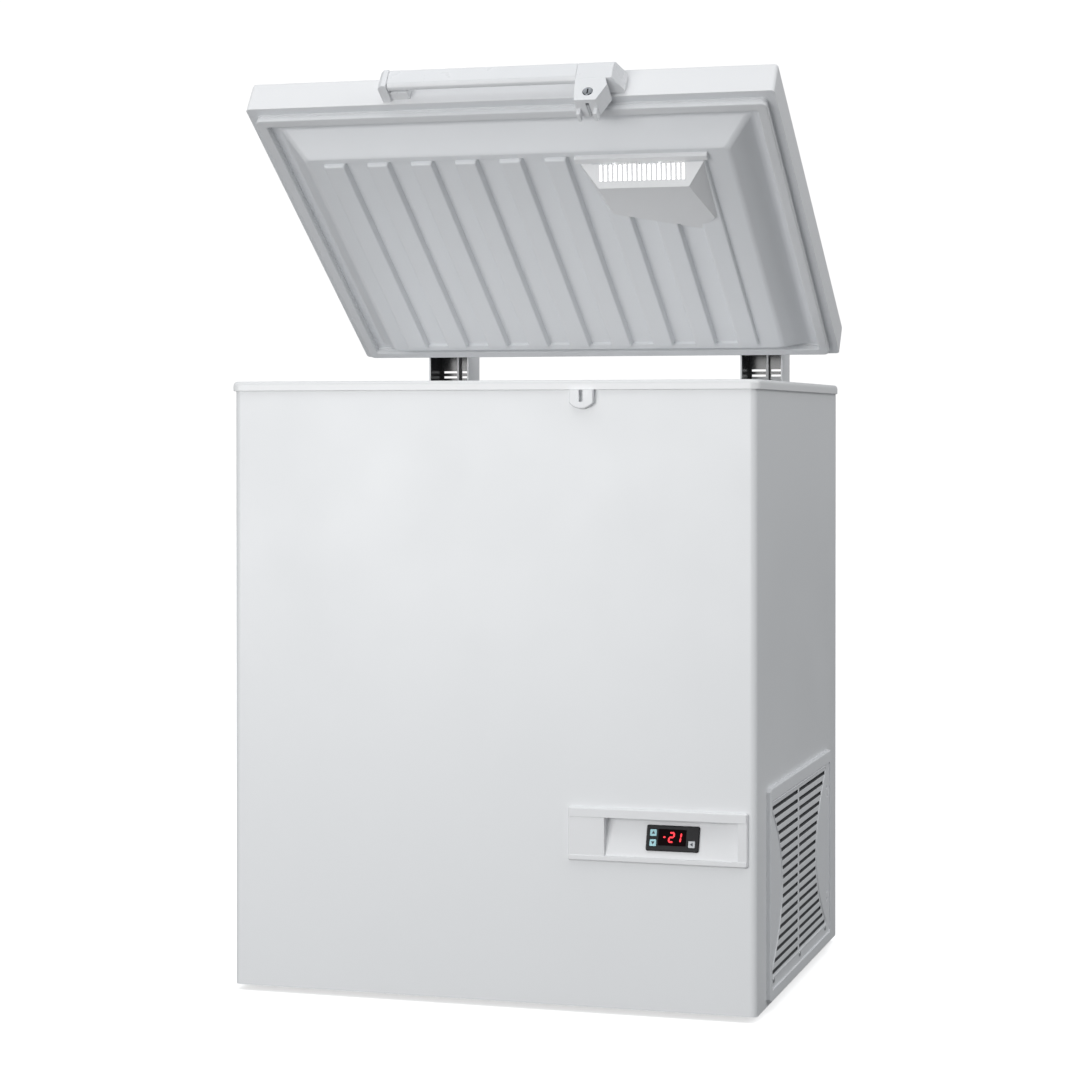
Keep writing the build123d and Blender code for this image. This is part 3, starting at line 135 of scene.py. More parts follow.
SPRING_WIRE = 1.6
SPRING_COILS = 11.0
FIN_PITCH = 4.0
FIN_SHEET = 0.5
FOOT_RADIUS = 18.0
FOOT_HEIGHT = 8.0
GRILLE_ROWS = 18
GRILLE_PITCH = 12.8
GRILLE_FIRST = 51.0
GRILLE_FRONT_FRAME = 18.0
GRILLE_BACK_FRAME = 42.0
GRILLE_PINCH = 0.19

# The drawing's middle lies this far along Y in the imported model
SHIFT_Y = HINGE.y / MM - CABINET_DEPTH / 2 - HINGE_REACH
BACK_Y = CABINET_DEPTH / 2 + SHIFT_Y
OPENING = (OPENING_WIDTH, OPENING_DEPTH)
OPENING_MIDDLE_Y = SHIFT_Y + OPENING_SHIFT
CHAMBER = (OPENING_WIDTH - 2 * COLLAR_DROP, OPENING_DEPTH - 2 * COLLAR_DROP)
COLLAR_LOW = RIM_TOP - COLLAR_DROP
HOLE_SHARE = (RIM_UNDER - COLLAR_LOW) / COLLAR_DROP
HOLE = [near + (far - near) * HOLE_SHARE for near, far in zip(CHAMBER, OPENING)]
LID_BACK_Y = BACK_Y + RIM_OVERHANG
LID_FRONT_Y = LID_BACK_Y - LID_DEPTH
LID_MIDDLE_Y = (LID_BACK_Y + LID_FRONT_Y) / 2
PLUG_FACE = LID_LOW - PLUG_DROP
IN_PLACE = Matrix.Scale(MM, 4)
ON_OPEN_LID = OPENED @ IN_PLACE


def in_scene(name, data):
    item = bpy.data.objects.new(name, data)
    bpy.context.collection.objects.link(item)
    return item


# Scene

def make_camera():
    data = bpy.data.cameras.new("photo_camera")
    data.sensor_width = SENSOR
    data.lens = FOCAL_PIXELS * SENSOR / FRAME_PIXELS
    data.shift_y = (HORIZON_PIXEL - FRAME_PIXELS / 2) / FRAME_PIXELS
    data.clip_start = 0.05
    data.clip_end = 60
    camera = in_scene("photo_camera", data)
    look = Vector((math.sin(CAMERA_YAW) * math.cos(CAMERA_PITCH),
                   math.cos(CAMERA_YAW) * math.cos(CAMERA_PITCH), math.sin(CAMERA_PITCH)))
    camera.rotation_mode = "QUATERNION"
    camera.rotation_quaternion = look.to_track_quat("-Z", "Y")
    camera.location = CAMERA_PLACE
    bpy.context.scene.camera = camera


def make_lights():
    for name, (place, target, size, power) in LIGHTS.items():
        data = bpy.data.lights.new(name, "AREA")
        data.shape = "RECTANGLE"
        data.size, data.size_y = size
        data.energy = power
        light = in_scene(name, data)
        light.location = place
        light.visible_camera = False
        towards = Vector(target) - Vector(place)
        light.rotation_euler = towards.to_track_quat("-Z", "Y").to_euler()


def make_surroundings():
    """White to the camera, and dimmer and greyer towards the floor for the light it gives."""
    world = bpy.data.worlds.new("studio")
    world.use_nodes = True
    tree = world.node_tree
    seen = tree.nodes["Background"]
    seen.inputs["Color"].default_value = (1, 1, 1, 1)
    seen.inputs["Strength"].default_value = SEEN_WHITE
    direction = tree.nodes.new("ShaderNodeTexCoord").outputs["Generated"]
    height = add_node(tree, "ShaderNodeSeparateXYZ", Vector=direction).outputs["Z"]
    strength = spread(tree, height, -0.1, 0.9, SKY_LOW, SKY_HIGH)
    lit = add_node(tree, "ShaderNodeBackground", Color=SKY_TINT, Strength=strength)
    mix = tree.nodes.new("ShaderNodeMixShader")
    feed(tree, tree.nodes.new("ShaderNodeLightPath").outputs["Is Camera Ray"], mix.inputs[0])
    feed(tree, lit.outputs[0], mix.inputs[1])
    feed(tree, seen.outputs[0], mix.inputs[2])
    feed(tree, mix.outputs[0], tree.nodes["World Output"].inputs["Surface"])
    bpy.context.scene.world = world
    bpy.context.scene.view_settings.view_transform = "Standard"


def make_floor():
    """A pale floor. It looks brighter than the light it throws back, as a white sweep does."""
    mesh = bpy.data.meshes.new("studio_floor")
    half = FLOOR_HALF
    mesh.from_pydata([(-half, -half, 0), (half, -half, 0), (half, half, 0), (-half, half, 0)],
                     [], [(0, 1, 2, 3)])
    material, shader, tree = blank_material("studio_floor")
    seen = tree.nodes.new("ShaderNodeLightPath").outputs["Is Camera Ray"]
    feed(tree, mix_colour(tree, seen, FLOOR_BOUNCE, FLOOR_SEEN), shader.inputs["Base Color"])
    shader.inputs["Roughness"].default_value = 0.9
    shader.inputs["Specular IOR Level"].default_value = 0.1
    shader.inputs["Emission Color"].default_value = (1, 1, 1, 1)
    feed(tree, spread(tree, seen, 0.0, 1.0, 0.0, FLOOR_LIFT), shader.inputs["Emission Strength"])
    mesh.materials.append(material)
    in_scene("studio_floor", mesh)


# Shader groups

NUMBER, COLOUR, VECTOR = "NodeSocketFloat", "NodeSocketColor", "NodeSocketVector"
MIX_FACTOR, MIX_FIRST, MIX_SECOND, MIX_RESULT = 0, 6, 7, 2  # a Mix node's sockets for colours
NOISE_LOW, NOISE_HIGH = 0.3, 0.7  # what a noise mostly stays between


def blank_material(name):
    material = bpy.data.materials.new(name)
    material.use_nodes = True
    tree = material.node_tree
    return material, tree.nodes["Principled BSDF"], tree


def feed(tree, value, socket):
    """Gives a socket a plain value, or links it to another socket."""
    if isinstance(value, bpy.types.NodeSocket):
        tree.links.new(value, socket)
    else:
        socket.default_value = value


def add_node(tree, kind, **inputs):
    """A node with its inputs fed by name."""
    node = tree.nodes.new(kind)
    for label, value in inputs.items():
        feed(tree, value, node.inputs[label.replace("_", " ")])
    return node


def start_group(name, inputs, output, kind):
    """A shader group that reads places in space, with its named inputs and one output."""
    tree = bpy.data.node_groups.new(name, "ShaderNodeTree")
    tree.interface.new_socket("Vector", in_out="INPUT", socket_type=VECTOR)
    for label, input_kind, default in inputs:
        socket = tree.interface.new_socket(label, in_out="INPUT", socket_type=input_kind)
        socket.default_value = default
    tree.interface.new_socket(output, in_out="OUTPUT", socket_type=kind)
    return tree, tree.nodes.new("NodeGroupInput").outputs, tree.nodes.new("NodeGroupOutput").inputs


def noise(tree, vector, scale, detail, roughness=0.5):
    node = add_node(tree, "ShaderNodeTexNoise", Vector=vector, Scale=scale, Detail=detail,
                    Roughness=roughness)
    return node.outputs["Fac"]


def spread(tree, value, low, high, to_low, to_high):
    """Maps a range of a value onto another, clamped."""
    node = add_node(tree, "ShaderNodeMapRange", Value=value, From_Min=low, From_Max=high,
                    To_Min=to_low, To_Max=to_high)
    return node.outputs["Result"]


def mix_colour(tree, share, first, second):
    node = tree.nodes.new("ShaderNodeMix")
    node.data_type = "RGBA"
    feed(tree, share, node.inputs[MIX_FACTOR])
    feed(tree, first, node.inputs[MIX_FIRST])
    feed(tree, second, node.inputs[MIX_SECOND])
    return node.outputs[MIX_RESULT]


def make_tone_drift():
    """Slow shifts of tone over a big moulded or painted face."""
    tree, given, put = start_group(
        "tone_drift", [("Light", COLOUR, (0.8, 0.8, 0.8, 1)), ("Dark", COLOUR, (0.7, 0.7, 0.7, 1)),
                       ("Scale", NUMBER, 3.0)], "Color", COLOUR)
    broad = noise(tree, given["Vector"], given["Scale"], 3.0)
    share = spread(tree, broad, NOISE_LOW, NOISE_HIGH, 0.0, 1.0)
    feed(tree, mix_colour(tree, share, given["Light"], given["Dark"]), put["Color"])
    return tree


def make_handling_marks():
    """Roughness with wiped patches and fine smears."""
    tree, given, put = start_group(
        "handling_marks", [("Low", NUMBER, 0.3), ("High", NUMBER, 0.5), ("Scale", NUMBER, 6.0)],
        "Roughness", NUMBER)
    patches = noise(tree, given["Vector"], given["Scale"], 4.0, 0.6)
    rough = spread(tree, patches, NOISE_LOW, NOISE_HIGH, given["Low"], given["High"])
    feed(tree, rough, put["Roughness"])
    return tree


def make_surface_grain():
    """The height of a fine skin: orange peel on paint, spark texture on plastic."""
    fine_share = 0.35
    tree, given, put = start_group(
        "surface_grain", [("Coarse", NUMBER, 400.0), ("Fine", NUMBER, 1600.0)], "Height", NUMBER)
    coarse = noise(tree, given["Vector"], given["Coarse"], 1.0)
    fine = noise(tree, given["Vector"], given["Fine"], 2.0)
    add = tree.nodes.new("ShaderNodeMath")
    add.operation = "MULTIPLY_ADD"
    for value, socket in zip((fine, fine_share, coarse), add.inputs):
        feed(tree, value, socket)
    feed(tree, add.outputs[0], put["Height"])
    return tree


def make_drawn_lines():
    """Long fine scratches along one axis, as on brushed or drawn metal."""
    tree, given, put = start_group(
        "drawn_lines", [("Stretch", VECTOR, (8.0, 900.0, 900.0))], "Height", NUMBER)
    scaled = tree.nodes.new("ShaderNodeVectorMath")
    scaled.operation = "MULTIPLY"
    feed(tree, given["Vector"], scaled.inputs[0])
    feed(tree, given["Stretch"], scaled.inputs[1])
    feed(tree, noise(tree, scaled.outputs[0], 1.0, 3.0, 0.6), put["Height"])
    return tree


def make_zinc_spangle():
    """Crystals of hot dipped zinc: a tone for each cell."""
    tree, given, put = start_group("zinc_spangle", [("Scale", NUMBER, 90.0)], "Mask", NUMBER)
    cells = add_node(tree, "ShaderNodeTexVoronoi", Vector=given["Vector"], Scale=given["Scale"])
    grey = add_node(tree, "ShaderNodeRGBToBW", Color=cells.outputs["Color"])
    feed(tree, grey.outputs[0], put["Mask"])
    return tree


TONE_DRIFT = make_tone_drift()
HANDLING_MARKS = make_handling_marks()
SURFACE_GRAIN = make_surface_grain()
DRAWN_LINES = make_drawn_lines()
ZINC_SPANGLE = make_zinc_spangle()


# Finishes

def start_finish(name, metallic=0.0):
    """A blank material with the piece's own coordinates."""
    material, shader, tree = blank_material(name)
    shader.inputs["Metallic"].default_value = metallic
    return material, shader.inputs, tree, tree.nodes.new("ShaderNodeTexCoord").outputs["Object"]


def place_group(tree, group, vector, **values):
    node = tree.nodes.new("ShaderNodeGroup")
    node.node_tree = group
    tree.links.new(vector, node.inputs["Vector"])
    for label, value in values.items():
        node.inputs[label].default_value = value
    return node.outputs[0]


def add_bump(tree, height, strength, relief, inputs):
    """Relief in millimetres from a height."""
    bump = add_node(tree, "ShaderNodeBump", Strength=strength, Distance=relief * MM,
                    Height=height)
    feed(tree, bump.outputs["Normal"], inputs["Normal"])


def shade(colour, factor=1.0):
    return tuple(channel * factor for channel in colour) + (1.0,)


def coated(name, colour, drift=0.96, drift_scale=3.0, roughness=(0.3, 0.42), marks_scale=5.0,
           grain=(500.0, 1800.0), relief=0.02, coat=0.0, specular=0.5):
    """A painted, moulded or rubber skin with its own tone drift, smears and grain."""
    material, inputs, tree, vector = start_finish(name)
    tone = place_group(tree, TONE_DRIFT, vector, Light=shade(colour), Dark=shade(colour, drift),
                       Scale=drift_scale)
    feed(tree, tone, inputs["Base Color"])
    marks = place_group(tree, HANDLING_MARKS, vector, Low=roughness[0], High=roughness[1],
                        Scale=marks_scale)
    feed(tree, marks, inputs["Roughness"])
    skin_height = place_group(tree, SURFACE_GRAIN, vector, Coarse=grain[0], Fine=grain[1])
    add_bump(tree, skin_height, 0.6, relief, inputs)
    inputs["Coat Weight"].default_value = coat
    inputs["Coat Roughness"].default_value = 0.15
    inputs["Specular IOR Level"].default_value = specular
    return material


def drawn_metal(name, light, dark, roughness=(0.2, 0.38), stretch=(8.0, 900.0, 900.0),
                relief=0.01):
    """Brushed or drawn metal with lines along one axis."""
    line_low, line_high = 0.35, 0.65
    material, inputs, tree, vector = start_finish(name, 1.0)
    lines = place_group(tree, DRAWN_LINES, vector, Stretch=stretch)
    mask = spread(tree, lines, line_low, line_high, 0.0, 1.0)
    feed(tree, mix_colour(tree, mask, shade(light), shade(dark)), inputs["Base Color"])
    feed(tree, spread(tree, mask, 0.0, 1.0, *roughness), inputs["Roughness"])
    add_bump(tree, lines, 0.5, relief, inputs)
    return material


def galvanised(name, light, dark):
    material, inputs, tree, vector = start_finish(name, 1.0)
    cells = place_group(tree, ZINC_SPANGLE, vector, Scale=110.0)
    feed(tree, mix_colour(tree, cells, shade(light), shade(dark)), inputs["Base Color"])
    feed(tree, spread(tree, cells, 0.0, 1.0, 0.32, 0.5), inputs["Roughness"])
    return material


def glowing(name, colour, glow, strength):
    """A lit plastic, its glow a little uneven."""
    material, inputs, tree, vector = start_finish(name)
    tone = place_group(tree, TONE_DRIFT, vector, Light=shade(glow), Dark=shade(glow, 0.86),
                       Scale=60.0)
    feed(tree, tone, inputs["Emission Color"])
    inputs["Emission Strength"].default_value = strength
    body = place_group(tree, TONE_DRIFT, vector, Light=shade(colour), Dark=shade(colour, 0.9),
                       Scale=30.0)
    feed(tree, body, inputs["Base Color"])
    inputs["Roughness"].default_value = 0.35
    return material


PAINT_GRAIN = (700.0, 2400.0)
POWDER_WHITE = coated("powder_white", (0.86, 0.87, 0.88), drift=0.985, drift_scale=1.6,
    roughness=(0.3, 0.4), grain=PAINT_GRAIN)
LID_WHITE = coated("lid_white", (0.87, 0.875, 0.885), drift=0.985, drift_scale=2.0,
    roughness=(0.3, 0.4), grain=PAINT_GRAIN)
LINER_PLASTIC = coated("liner_plastic", (0.8, 0.815, 0.835), drift=0.98, drift_scale=4.0,
    roughness=(0.34, 0.46), grain=(260.0, 1200.0), relief=0.03)
RIM_PLASTIC = coated("rim_plastic", (0.88, 0.885, 0.89), drift=0.985, roughness=(0.28, 0.38))
PANEL_PLASTIC = coated("panel_plastic", (0.85, 0.855, 0.865), drift=0.985, roughness=(0.34, 0.44),
    grain=(900.0, 2600.0))
HANDLE_PLASTIC = coated("handle_plastic", (0.84, 0.85, 0.865), drift=0.97, drift_scale=9.0,
    roughness=(0.26, 0.4), marks_scale=30.0, grain=(1100.0, 3000.0))
GRILLE_PLASTIC = coated("grille_plastic", (0.84, 0.85, 0.865), roughness=(0.4, 0.52),
    grain=(1000.0, 2600.0), relief=0.03)
# Painted shade: near black for the grille's slot walls, where shade falls inside the louvres
GRILLE_PAINTED_SHADE = coated("grille_painted_shade", (0.05, 0.052, 0.056), drift=0.8, roughness=(0.5, 0.7))
LAMP_PLASTIC = coated("lamp_plastic", (0.84, 0.845, 0.855), drift=0.98, roughness=(0.34, 0.44),
    grain=(1000.0, 2600.0))
BLACK_PLASTIC = coated("black_plastic", (0.014, 0.014, 0.016), drift=0.8, roughness=(0.36, 0.5),
    grain=(1500.0, 4000.0), specular=0.25)
ENAMEL_BLACK = coated("enamel_black", (0.012, 0.012, 0.014), drift=0.8, roughness=(0.18, 0.3),
    coat=0.5)
FOAM_CREAM = coated("foam_cream", (0.72, 0.6, 0.36), drift=0.85, drift_scale=40.0,
    roughness=(0.85, 0.95), grain=(250.0, 900.0), relief=0.4)
GASKET_RUBBER = coated("gasket_rubber", (0.79, 0.8, 0.815), drift=0.97, drift_scale=12.0,
    roughness=(0.5, 0.65), grain=(800.0, 2600.0), relief=0.03)
BLACK_RUBBER = coated("black_rubber", (0.02, 0.02, 0.022), drift=0.75, roughness=(0.65, 0.85))
STAINLESS = drawn_metal("stainless", (0.68, 0.69, 0.7), (0.52, 0.53, 0.54))
CHAMBER_STEEL = drawn_metal("chamber_steel", (0.74, 0.75, 0.76), (0.66, 0.67, 0.68),
    roughness=(0.34, 0.5), stretch=(6.0, 400.0, 400.0), relief=0.004)
PIN_STEEL = drawn_metal("pin_steel", (0.62, 0.62, 0.63), (0.42, 0.42, 0.43),
    stretch=(700.0, 30.0, 30.0))
SPRING_STEEL = drawn_metal("spring_steel", (0.3, 0.3, 0.32), (0.16, 0.16, 0.17),
    roughness=(0.28, 0.45))
LOCK_CHROME = drawn_metal("lock_chrome", (0.3, 0.31, 0.33), (0.16, 0.17, 0.18),
    roughness=(0.12, 0.26), stretch=(60.0, 60.0, 60.0))
COPPER_TUBE = drawn_metal("copper_tube", (0.72, 0.36, 0.2), (0.42, 0.2, 0.12),
    stretch=(60.0, 60.0, 60.0))
ALUMINIUM = drawn_metal("aluminium", (0.74, 0.75, 0.76), (0.6, 0.61, 0.62),
    stretch=(900.0, 30.0, 900.0))
ZINC_SHEET = galvanised("zinc_sheet", (0.62, 0.64, 0.66), (0.44, 0.46, 0.48))
DISPLAY_GLASS = coated("display_glass", (0.01, 0.004, 0.005), drift=0.7, roughness=(0.06, 0.12),
    relief=0.0, specular=0.06)
DIGIT_GLOW = glowing("digit_glow", (0.5, 0.01, 0.015), (1.0, 0.02, 0.035), 1.6)
BUTTON_CYAN, BUTTON_GREY = (
    coated(name, colour, drift=0.95, drift_scale=60.0, roughness=(0.25, 0.35))
    for name, colour in (("button_cyan", (0.42, 0.74, 0.8)), ("button_grey", (0.62, 0.64, 0.66))))
ARROW_INK = coated("arrow_ink", (0.03, 0.035, 0.05), roughness=(0.4, 0.5))
LAMP_GLOW = glowing("lamp_glow", (0.9, 0.9, 0.88), (1.0, 0.995, 0.98), 2.0)
CIRCUIT_GREEN = coated("circuit_green", (0.02, 0.14, 0.06), drift=0.7, drift_scale=90.0,
    roughness=(0.3, 0.4))

NODE_FINISH = {node: material for material, nodes in (
    (POWDER_WHITE, "outer_wrap back_panel rear_cover hinge_bracket_left hinge_bracket_right"),
    (LID_WHITE, "lid_skin"), (LINER_PLASTIC, "lid_liner breaker_collar"),
    (RIM_PLASTIC, "rim_frame"), (PANEL_PLASTIC, "control_panel"),
    (HANDLE_PLASTIC, "striker_plate handle_bar handle_left_bracket handle_right_block "
                     "lock_housing"),
    (GRILLE_PLASTIC, "side_grille"), (LAMP_PLASTIC, "lamp_housing"),
    (BLACK_PLASTIC, "controller_housing terminal_cover start_capacitor fan_blades mains_inlet"),
    (ENAMEL_BLACK, "compressor fan_motor"), (FOAM_CREAM, "cabinet_foam lid_foam"),
    (GASKET_RUBBER, "lid_gasket"), (BLACK_RUBBER, "feet compressor_grommets"),
    (CHAMBER_STEEL, "inner_liner"),
    (STAINLESS, "temperature_probe rear_cover_screws grille_screws hinge_bracket_screws "
                "hinge_arm_screws lock_bolt"),
    (PIN_STEEL, "hinge_pin_left hinge_pin_right"),
    (SPRING_STEEL, "hinge_spring_left hinge_spring_right"), (LOCK_CHROME, "lock_cylinder"),
    (COPPER_TUBE, "filter_drier discharge_pipe suction_pipe liquid_line capillary_tube"),
    (ALUMINIUM, "evaporator_coil condenser_tube condenser_fins"),
    (ZINC_SHEET, "base_pan machine_deck fan_shroud hinge_arm_left hinge_arm_right"),
    (DISPLAY_GLASS, "display_window"), (BUTTON_CYAN, "up_button down_button"),
    (BUTTON_GREY, "set_button"), (LAMP_GLOW, "lamp_diffuser"), (CIRCUIT_GREEN, "lamp_board"),
) for node in nodes.split()}


def coat(mesh, *materials):
    mesh.materials.clear()
    for material in materials:
        mesh.materials.append(material)
    return mesh


def finish_nodes():
    for name, material in NODE_FINISH.items():
        coat(frame["nodes"][name].data, material)


# Pieces

def add_piece(name, mesh, beside):
    """A finished mesh as a piece of its own, on the body of a node."""
    piece = in_scene(name, mesh)
    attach(piece, BODY_OF[beside])
    return piece


def stand_for(node, mesh, has_coat=False):
    """A finished mesh in the place of a node, in the node's finish unless it has its own."""
    if not has_coat:
        coat(mesh, NODE_FINISH[node])
    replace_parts(add_piece("soft_" + node, mesh, node), node)


def applied(source):
    """The plain mesh of an object with its modifiers worked in. The object is removed."""
    bpy.context.view_layer.update()
    graph = bpy.context.evaluated_depsgraph_get()
    mesh = bpy.data.meshes.new_from_object(source.evaluated_get(graph), depsgraph=graph)
    bpy.data.objects.remove(source)
    return mesh


def shaded(mesh, angle=35):
    """Smooth shading with sharp edges kept, flat faces staying flat."""
    mesh.shade_smooth()
    mesh.set_sharp_from_angle(angle=math.radians(angle))
    rough = in_scene("rough", mesh)
    rough.modifiers.new("even_faces", "WEIGHTED_NORMAL").keep_sharp = True
    return applied(rough)


def mesh_of(bm, name):
    mesh = bpy.data.meshes.new(name)
    bm.to_mesh(mesh)
    bm.free()
    return mesh


def merged(node):
    """A node's loose triangles with their corners merged."""
    bm = bmesh.new()
    bm.from_mesh(frame["nodes"][node].data)
    bmesh.ops.remove_doubles(bm, verts=bm.verts, dist=0.005 * MM)
    return bm


def node_copy(node):
    """A copy of a node's mesh in clean faces."""
    bm = merged(node)
    bmesh.ops.dissolve_limit(bm, angle_limit=math.radians(0.5), verts=bm.verts, edges=bm.edges)
    return mesh_of(bm, node + "_copy")


def softened(node, width):
    """A copy of a node with its sharp edges rounded."""
    edge_angle = 38
    rough = in_scene("rough", node_copy(node))
    bevel = rough.modifiers.new("rounding", "BEVEL")
    bevel.width = width * MM
    bevel.segments = 2
    bevel.limit_method = "ANGLE"
    bevel.angle_limit = math.radians(edge_angle)
    bevel.use_clamp_overlap = True
    return shaded(applied(rough), edge_angle)


ROUNDINGS = {
    "lamp_housing": 1.0, "handle_bar": 1.4, "handle_left_bracket": 1.0, "handle_right_block": 1.0,
    "lock_housing": 0.9, "striker_plate": 0.5, "control_panel": 0.6, "controller_housing": 0.4,
    "hinge_arm_left": 0.4, "hinge_arm_right": 0.4, "fan_shroud": 0.4, "compressor": 2.0,
    "fan_motor": 1.2, "mains_inlet": 0.4, "up_button": 0.3, "down_button": 0.3,
    "set_button": 0.3, "terminal_cover": 1.0, "start_capacitor": 1.2, "lock_cylinder": 0.25,
}
SMOOTHED = ("outer_wrap fan_blades lock_bolt hinge_pin_left hinge_pin_right evaporator_coil "
            "condenser_tube").split()
PIPES = ("discharge_pipe suction_pipe liquid_line capillary_tube filter_drier temperature_probe "
         "compressor_grommets").split()


def soften_pieces():
    for node, width in ROUNDINGS.items():
        stand_for(node, softened(node, width))
    for node in SMOOTHED:
        stand_for(node, shaded(node_copy(node), angle=48))


def round_pipes():
    """The pipes with round sections, on the lines of their nodes."""
    for node in PIPES:
        rough = in_scene("rough", node_copy(node))
        smooth = rough.modifiers.new("round_section", "SUBSURF")
        smooth.levels = smooth.render_levels = 2
        stand_for(node, shaded(applied(rough), angle=60))


# Skins drawn through level rings

RING_STEPS = 6
NEARLY_HALF = 0.48


def ring_points(width, depth, corner, z, middle_y):
    """A rectangle with rounded corners, counterclockwise from above."""
    points = []
    for quarter, (side_x, side_y) in enumerate(((1, 1), (-1, 1), (-1, -1), (1, -1))):
        x = side_x * (width / 2 - corner)
        y = side_y * (depth / 2 - corner) + middle_y
        for step in range(RING_STEPS + 1):
            angle = math.radians(90 * (quarter + step / RING_STEPS))
            points.append((x + corner * math.cos(angle), y + corner * math.sin(angle), z))
    return points


def eased(levels, steps=5):
    """Levels of (width, depth, corner, z, middle_y, ease), with an arc of ease at each bend."""
    def leg(first, second):
        return math.hypot((first[0] - second[0]) / 2, first[3] - second[3]) or 1.0

    def between(first, second, share):
        return tuple(a + (b - a) * share for a, b in zip(first, second))

    out = [levels[0][:5]]
    for before, here, after in zip(levels, levels[1:], levels[2:]):
        bend, ease = here[:5], here[5]
        if not ease:
            out.append(bend)
            continue
        start = between(bend, before[:5], min(ease / leg(here, before), NEARLY_HALF))
        end = between(bend, after[:5], min(ease / leg(here, after), NEARLY_HALF))
        for step in range(steps + 1):
            t = step / steps
            out.append(between(between(start, bend, t), between(bend, end, t), t))
    out.append(levels[-1][:5])
    return out


def skin(loops, place, closed=False):
    """A closed skin through loops with as many points each, capped or joined in a ring."""
    bm = bmesh.new()
    rows = [[bm.verts.new(place @ Vector(point)) for point in loop] for loop in loops]
    pairs = list(zip(rows, rows[1:]))
    if closed:
        pairs.append((rows[-1], rows[0]))
    else:
        bm.faces.new(rows[0])
        bm.faces.new(rows[-1])
    for low, high in pairs:
        for i in range(len(low)):
            j = (i + 1) % len(low)
            bm.faces.new((low[i], low[j], high[j], high[i]))
    bmesh.ops.recalc_face_normals(bm, faces=bm.faces)
    return bm


def ring_skin(levels, place, name):
    return mesh_of(skin([ring_points(*level) for level in eased(levels)], place), name)


def ring_of(levels, place, name):
    """A ring shaped skin, its last level joined to its first."""
    loops = [ring_points(*level) for level in levels]
    return shaded(mesh_of(skin(loops, place, closed=True), name))


def turned(profile, name, recess_from=None):
    """A turned piece: (radius, z) from its foot to its top, its last rings a cross recess."""
    sides, lobes, lobe_reach = 32, 4, 0.34
    loops = []
    for i, (radius, z) in enumerate(profile):
        loop = []
        for side in range(sides):
            angle = 2 * math.pi * side / sides
            in_recess = recess_from is not None and i >= recess_from
            reach = radius * (1 + lobe_reach * math.cos(lobes * angle)) if in_recess else radius
            loop.append((reach * math.cos(angle), reach * math.sin(angle), z))
        loops.append(loop)
    return mesh_of(skin(loops, IN_PLACE), name)


def make_lid_skin():
    """The lid's pressed cover: a shallow box of sheet with a rolled upper edge."""
    top = LID_LOW + LID_THICKNESS
    inner, inner_depth = LID_WIDTH - 2 * SHEET, LID_DEPTH - 2 * SHEET
    inner_cap, outer_cap, fold = 20, 24, 0.4
    levels = [(inner - inner_cap, inner_depth - inner_cap, 1, top - SHEET, LID_MIDDLE_Y, 0),
              (inner, inner_depth, LID_EDGE - SHEET, top - SHEET, LID_MIDDLE_Y, 3.5),
              (inner, inner_depth, LID_EDGE - SHEET, LID_LOW, LID_MIDDLE_Y, 0),
              (LID_WIDTH, LID_DEPTH, LID_EDGE, LID_LOW, LID_MIDDLE_Y, fold),
              (LID_WIDTH, LID_DEPTH, LID_EDGE, top, LID_MIDDLE_Y, 5),
              (LID_WIDTH - outer_cap, LID_DEPTH - outer_cap, 1, top, LID_MIDDLE_Y, 0)]
    stand_for("lid_skin", shaded(ring_skin(levels, ON_OPEN_LID, "lid_skin")))


def plug_places():
    """The plug's width, depth and middle at its foot, and the front and back of its ribs."""
    front = LID_FRONT_Y + PLUG_FRONT_GAP
    back = LID_BACK_Y - PLUG_BACK_GAP
    rib_front = front + PLUG_DROP + RIB_FRONT_GAP
    rib_back = back - PLUG_DROP - RIB_BACK_GAP
    return LID_WIDTH - 2 * PLUG_SIDE_GAP, back - front, (front + back) / 2, rib_front, rib_back


# Node trees

def start_tree(name, *inputs):
    """A node tree that takes a piece, named inputs and a finish."""
    tree = bpy.data.node_groups.new(name, "GeometryNodeTree")
    keys = {}
    for label, kind in (("Piece", "Geometry"), *inputs, ("Finish", "Material")):
        socket = tree.interface.new_socket(label, in_out="INPUT", socket_type="NodeSocket" + kind)
        keys[label] = socket.identifier
    tree.interface.new_socket("Geometry", in_out="OUTPUT", socket_type="NodeSocketGeometry")
    return tree, tree.nodes.new("NodeGroupInput").outputs, keys


def finish_tree(tree, given, keys, geometry):
    """Ends a node tree in real meshes with their finish."""
    real = add_node(tree, "GeometryNodeRealizeInstances", Geometry=geometry)
    finished = add_node(tree, "GeometryNodeSetMaterial", Geometry=real.outputs["Geometry"],
                        Material=given["Finish"])
    add_node(tree, "NodeGroupOutput", Geometry=finished.outputs["Geometry"])
    return tree, keys


def row_tree():
    """Node tree: copies of the given mesh in a row."""
    tree, given, keys = start_tree("row_of_copies", ("Count", "Int"), ("Step", "Vector"))
    row = add_node(tree, "GeometryNodeMeshLine", Count=given["Count"], Offset=given["Step"])
    copies = add_node(tree, "GeometryNodeInstanceOnPoints", Points=row.outputs["Mesh"],
                      Instance=given["Piece"])
    return finish_tree(tree, given, keys, copies.outputs["Instances"])


def placed_tree():
    """Node tree: copies of the given mesh at the points of another object, all turned alike."""
    tree, given, keys = start_tree("copies_at_places", ("Places", "Object"), ("Turn", "Vector"))
    places = add_node(tree, "GeometryNodeObjectInfo", Object=given["Places"])
    turn = add_node(tree, "FunctionNodeEulerToRotation", Euler=given["Turn"])
    copies = add_node(tree, "GeometryNodeInstanceOnPoints", Points=places.outputs["Geometry"],
                      Instance=given["Piece"], Rotation=turn.outputs[0])
    return finish_tree(tree, given, keys, copies.outputs["Instances"])


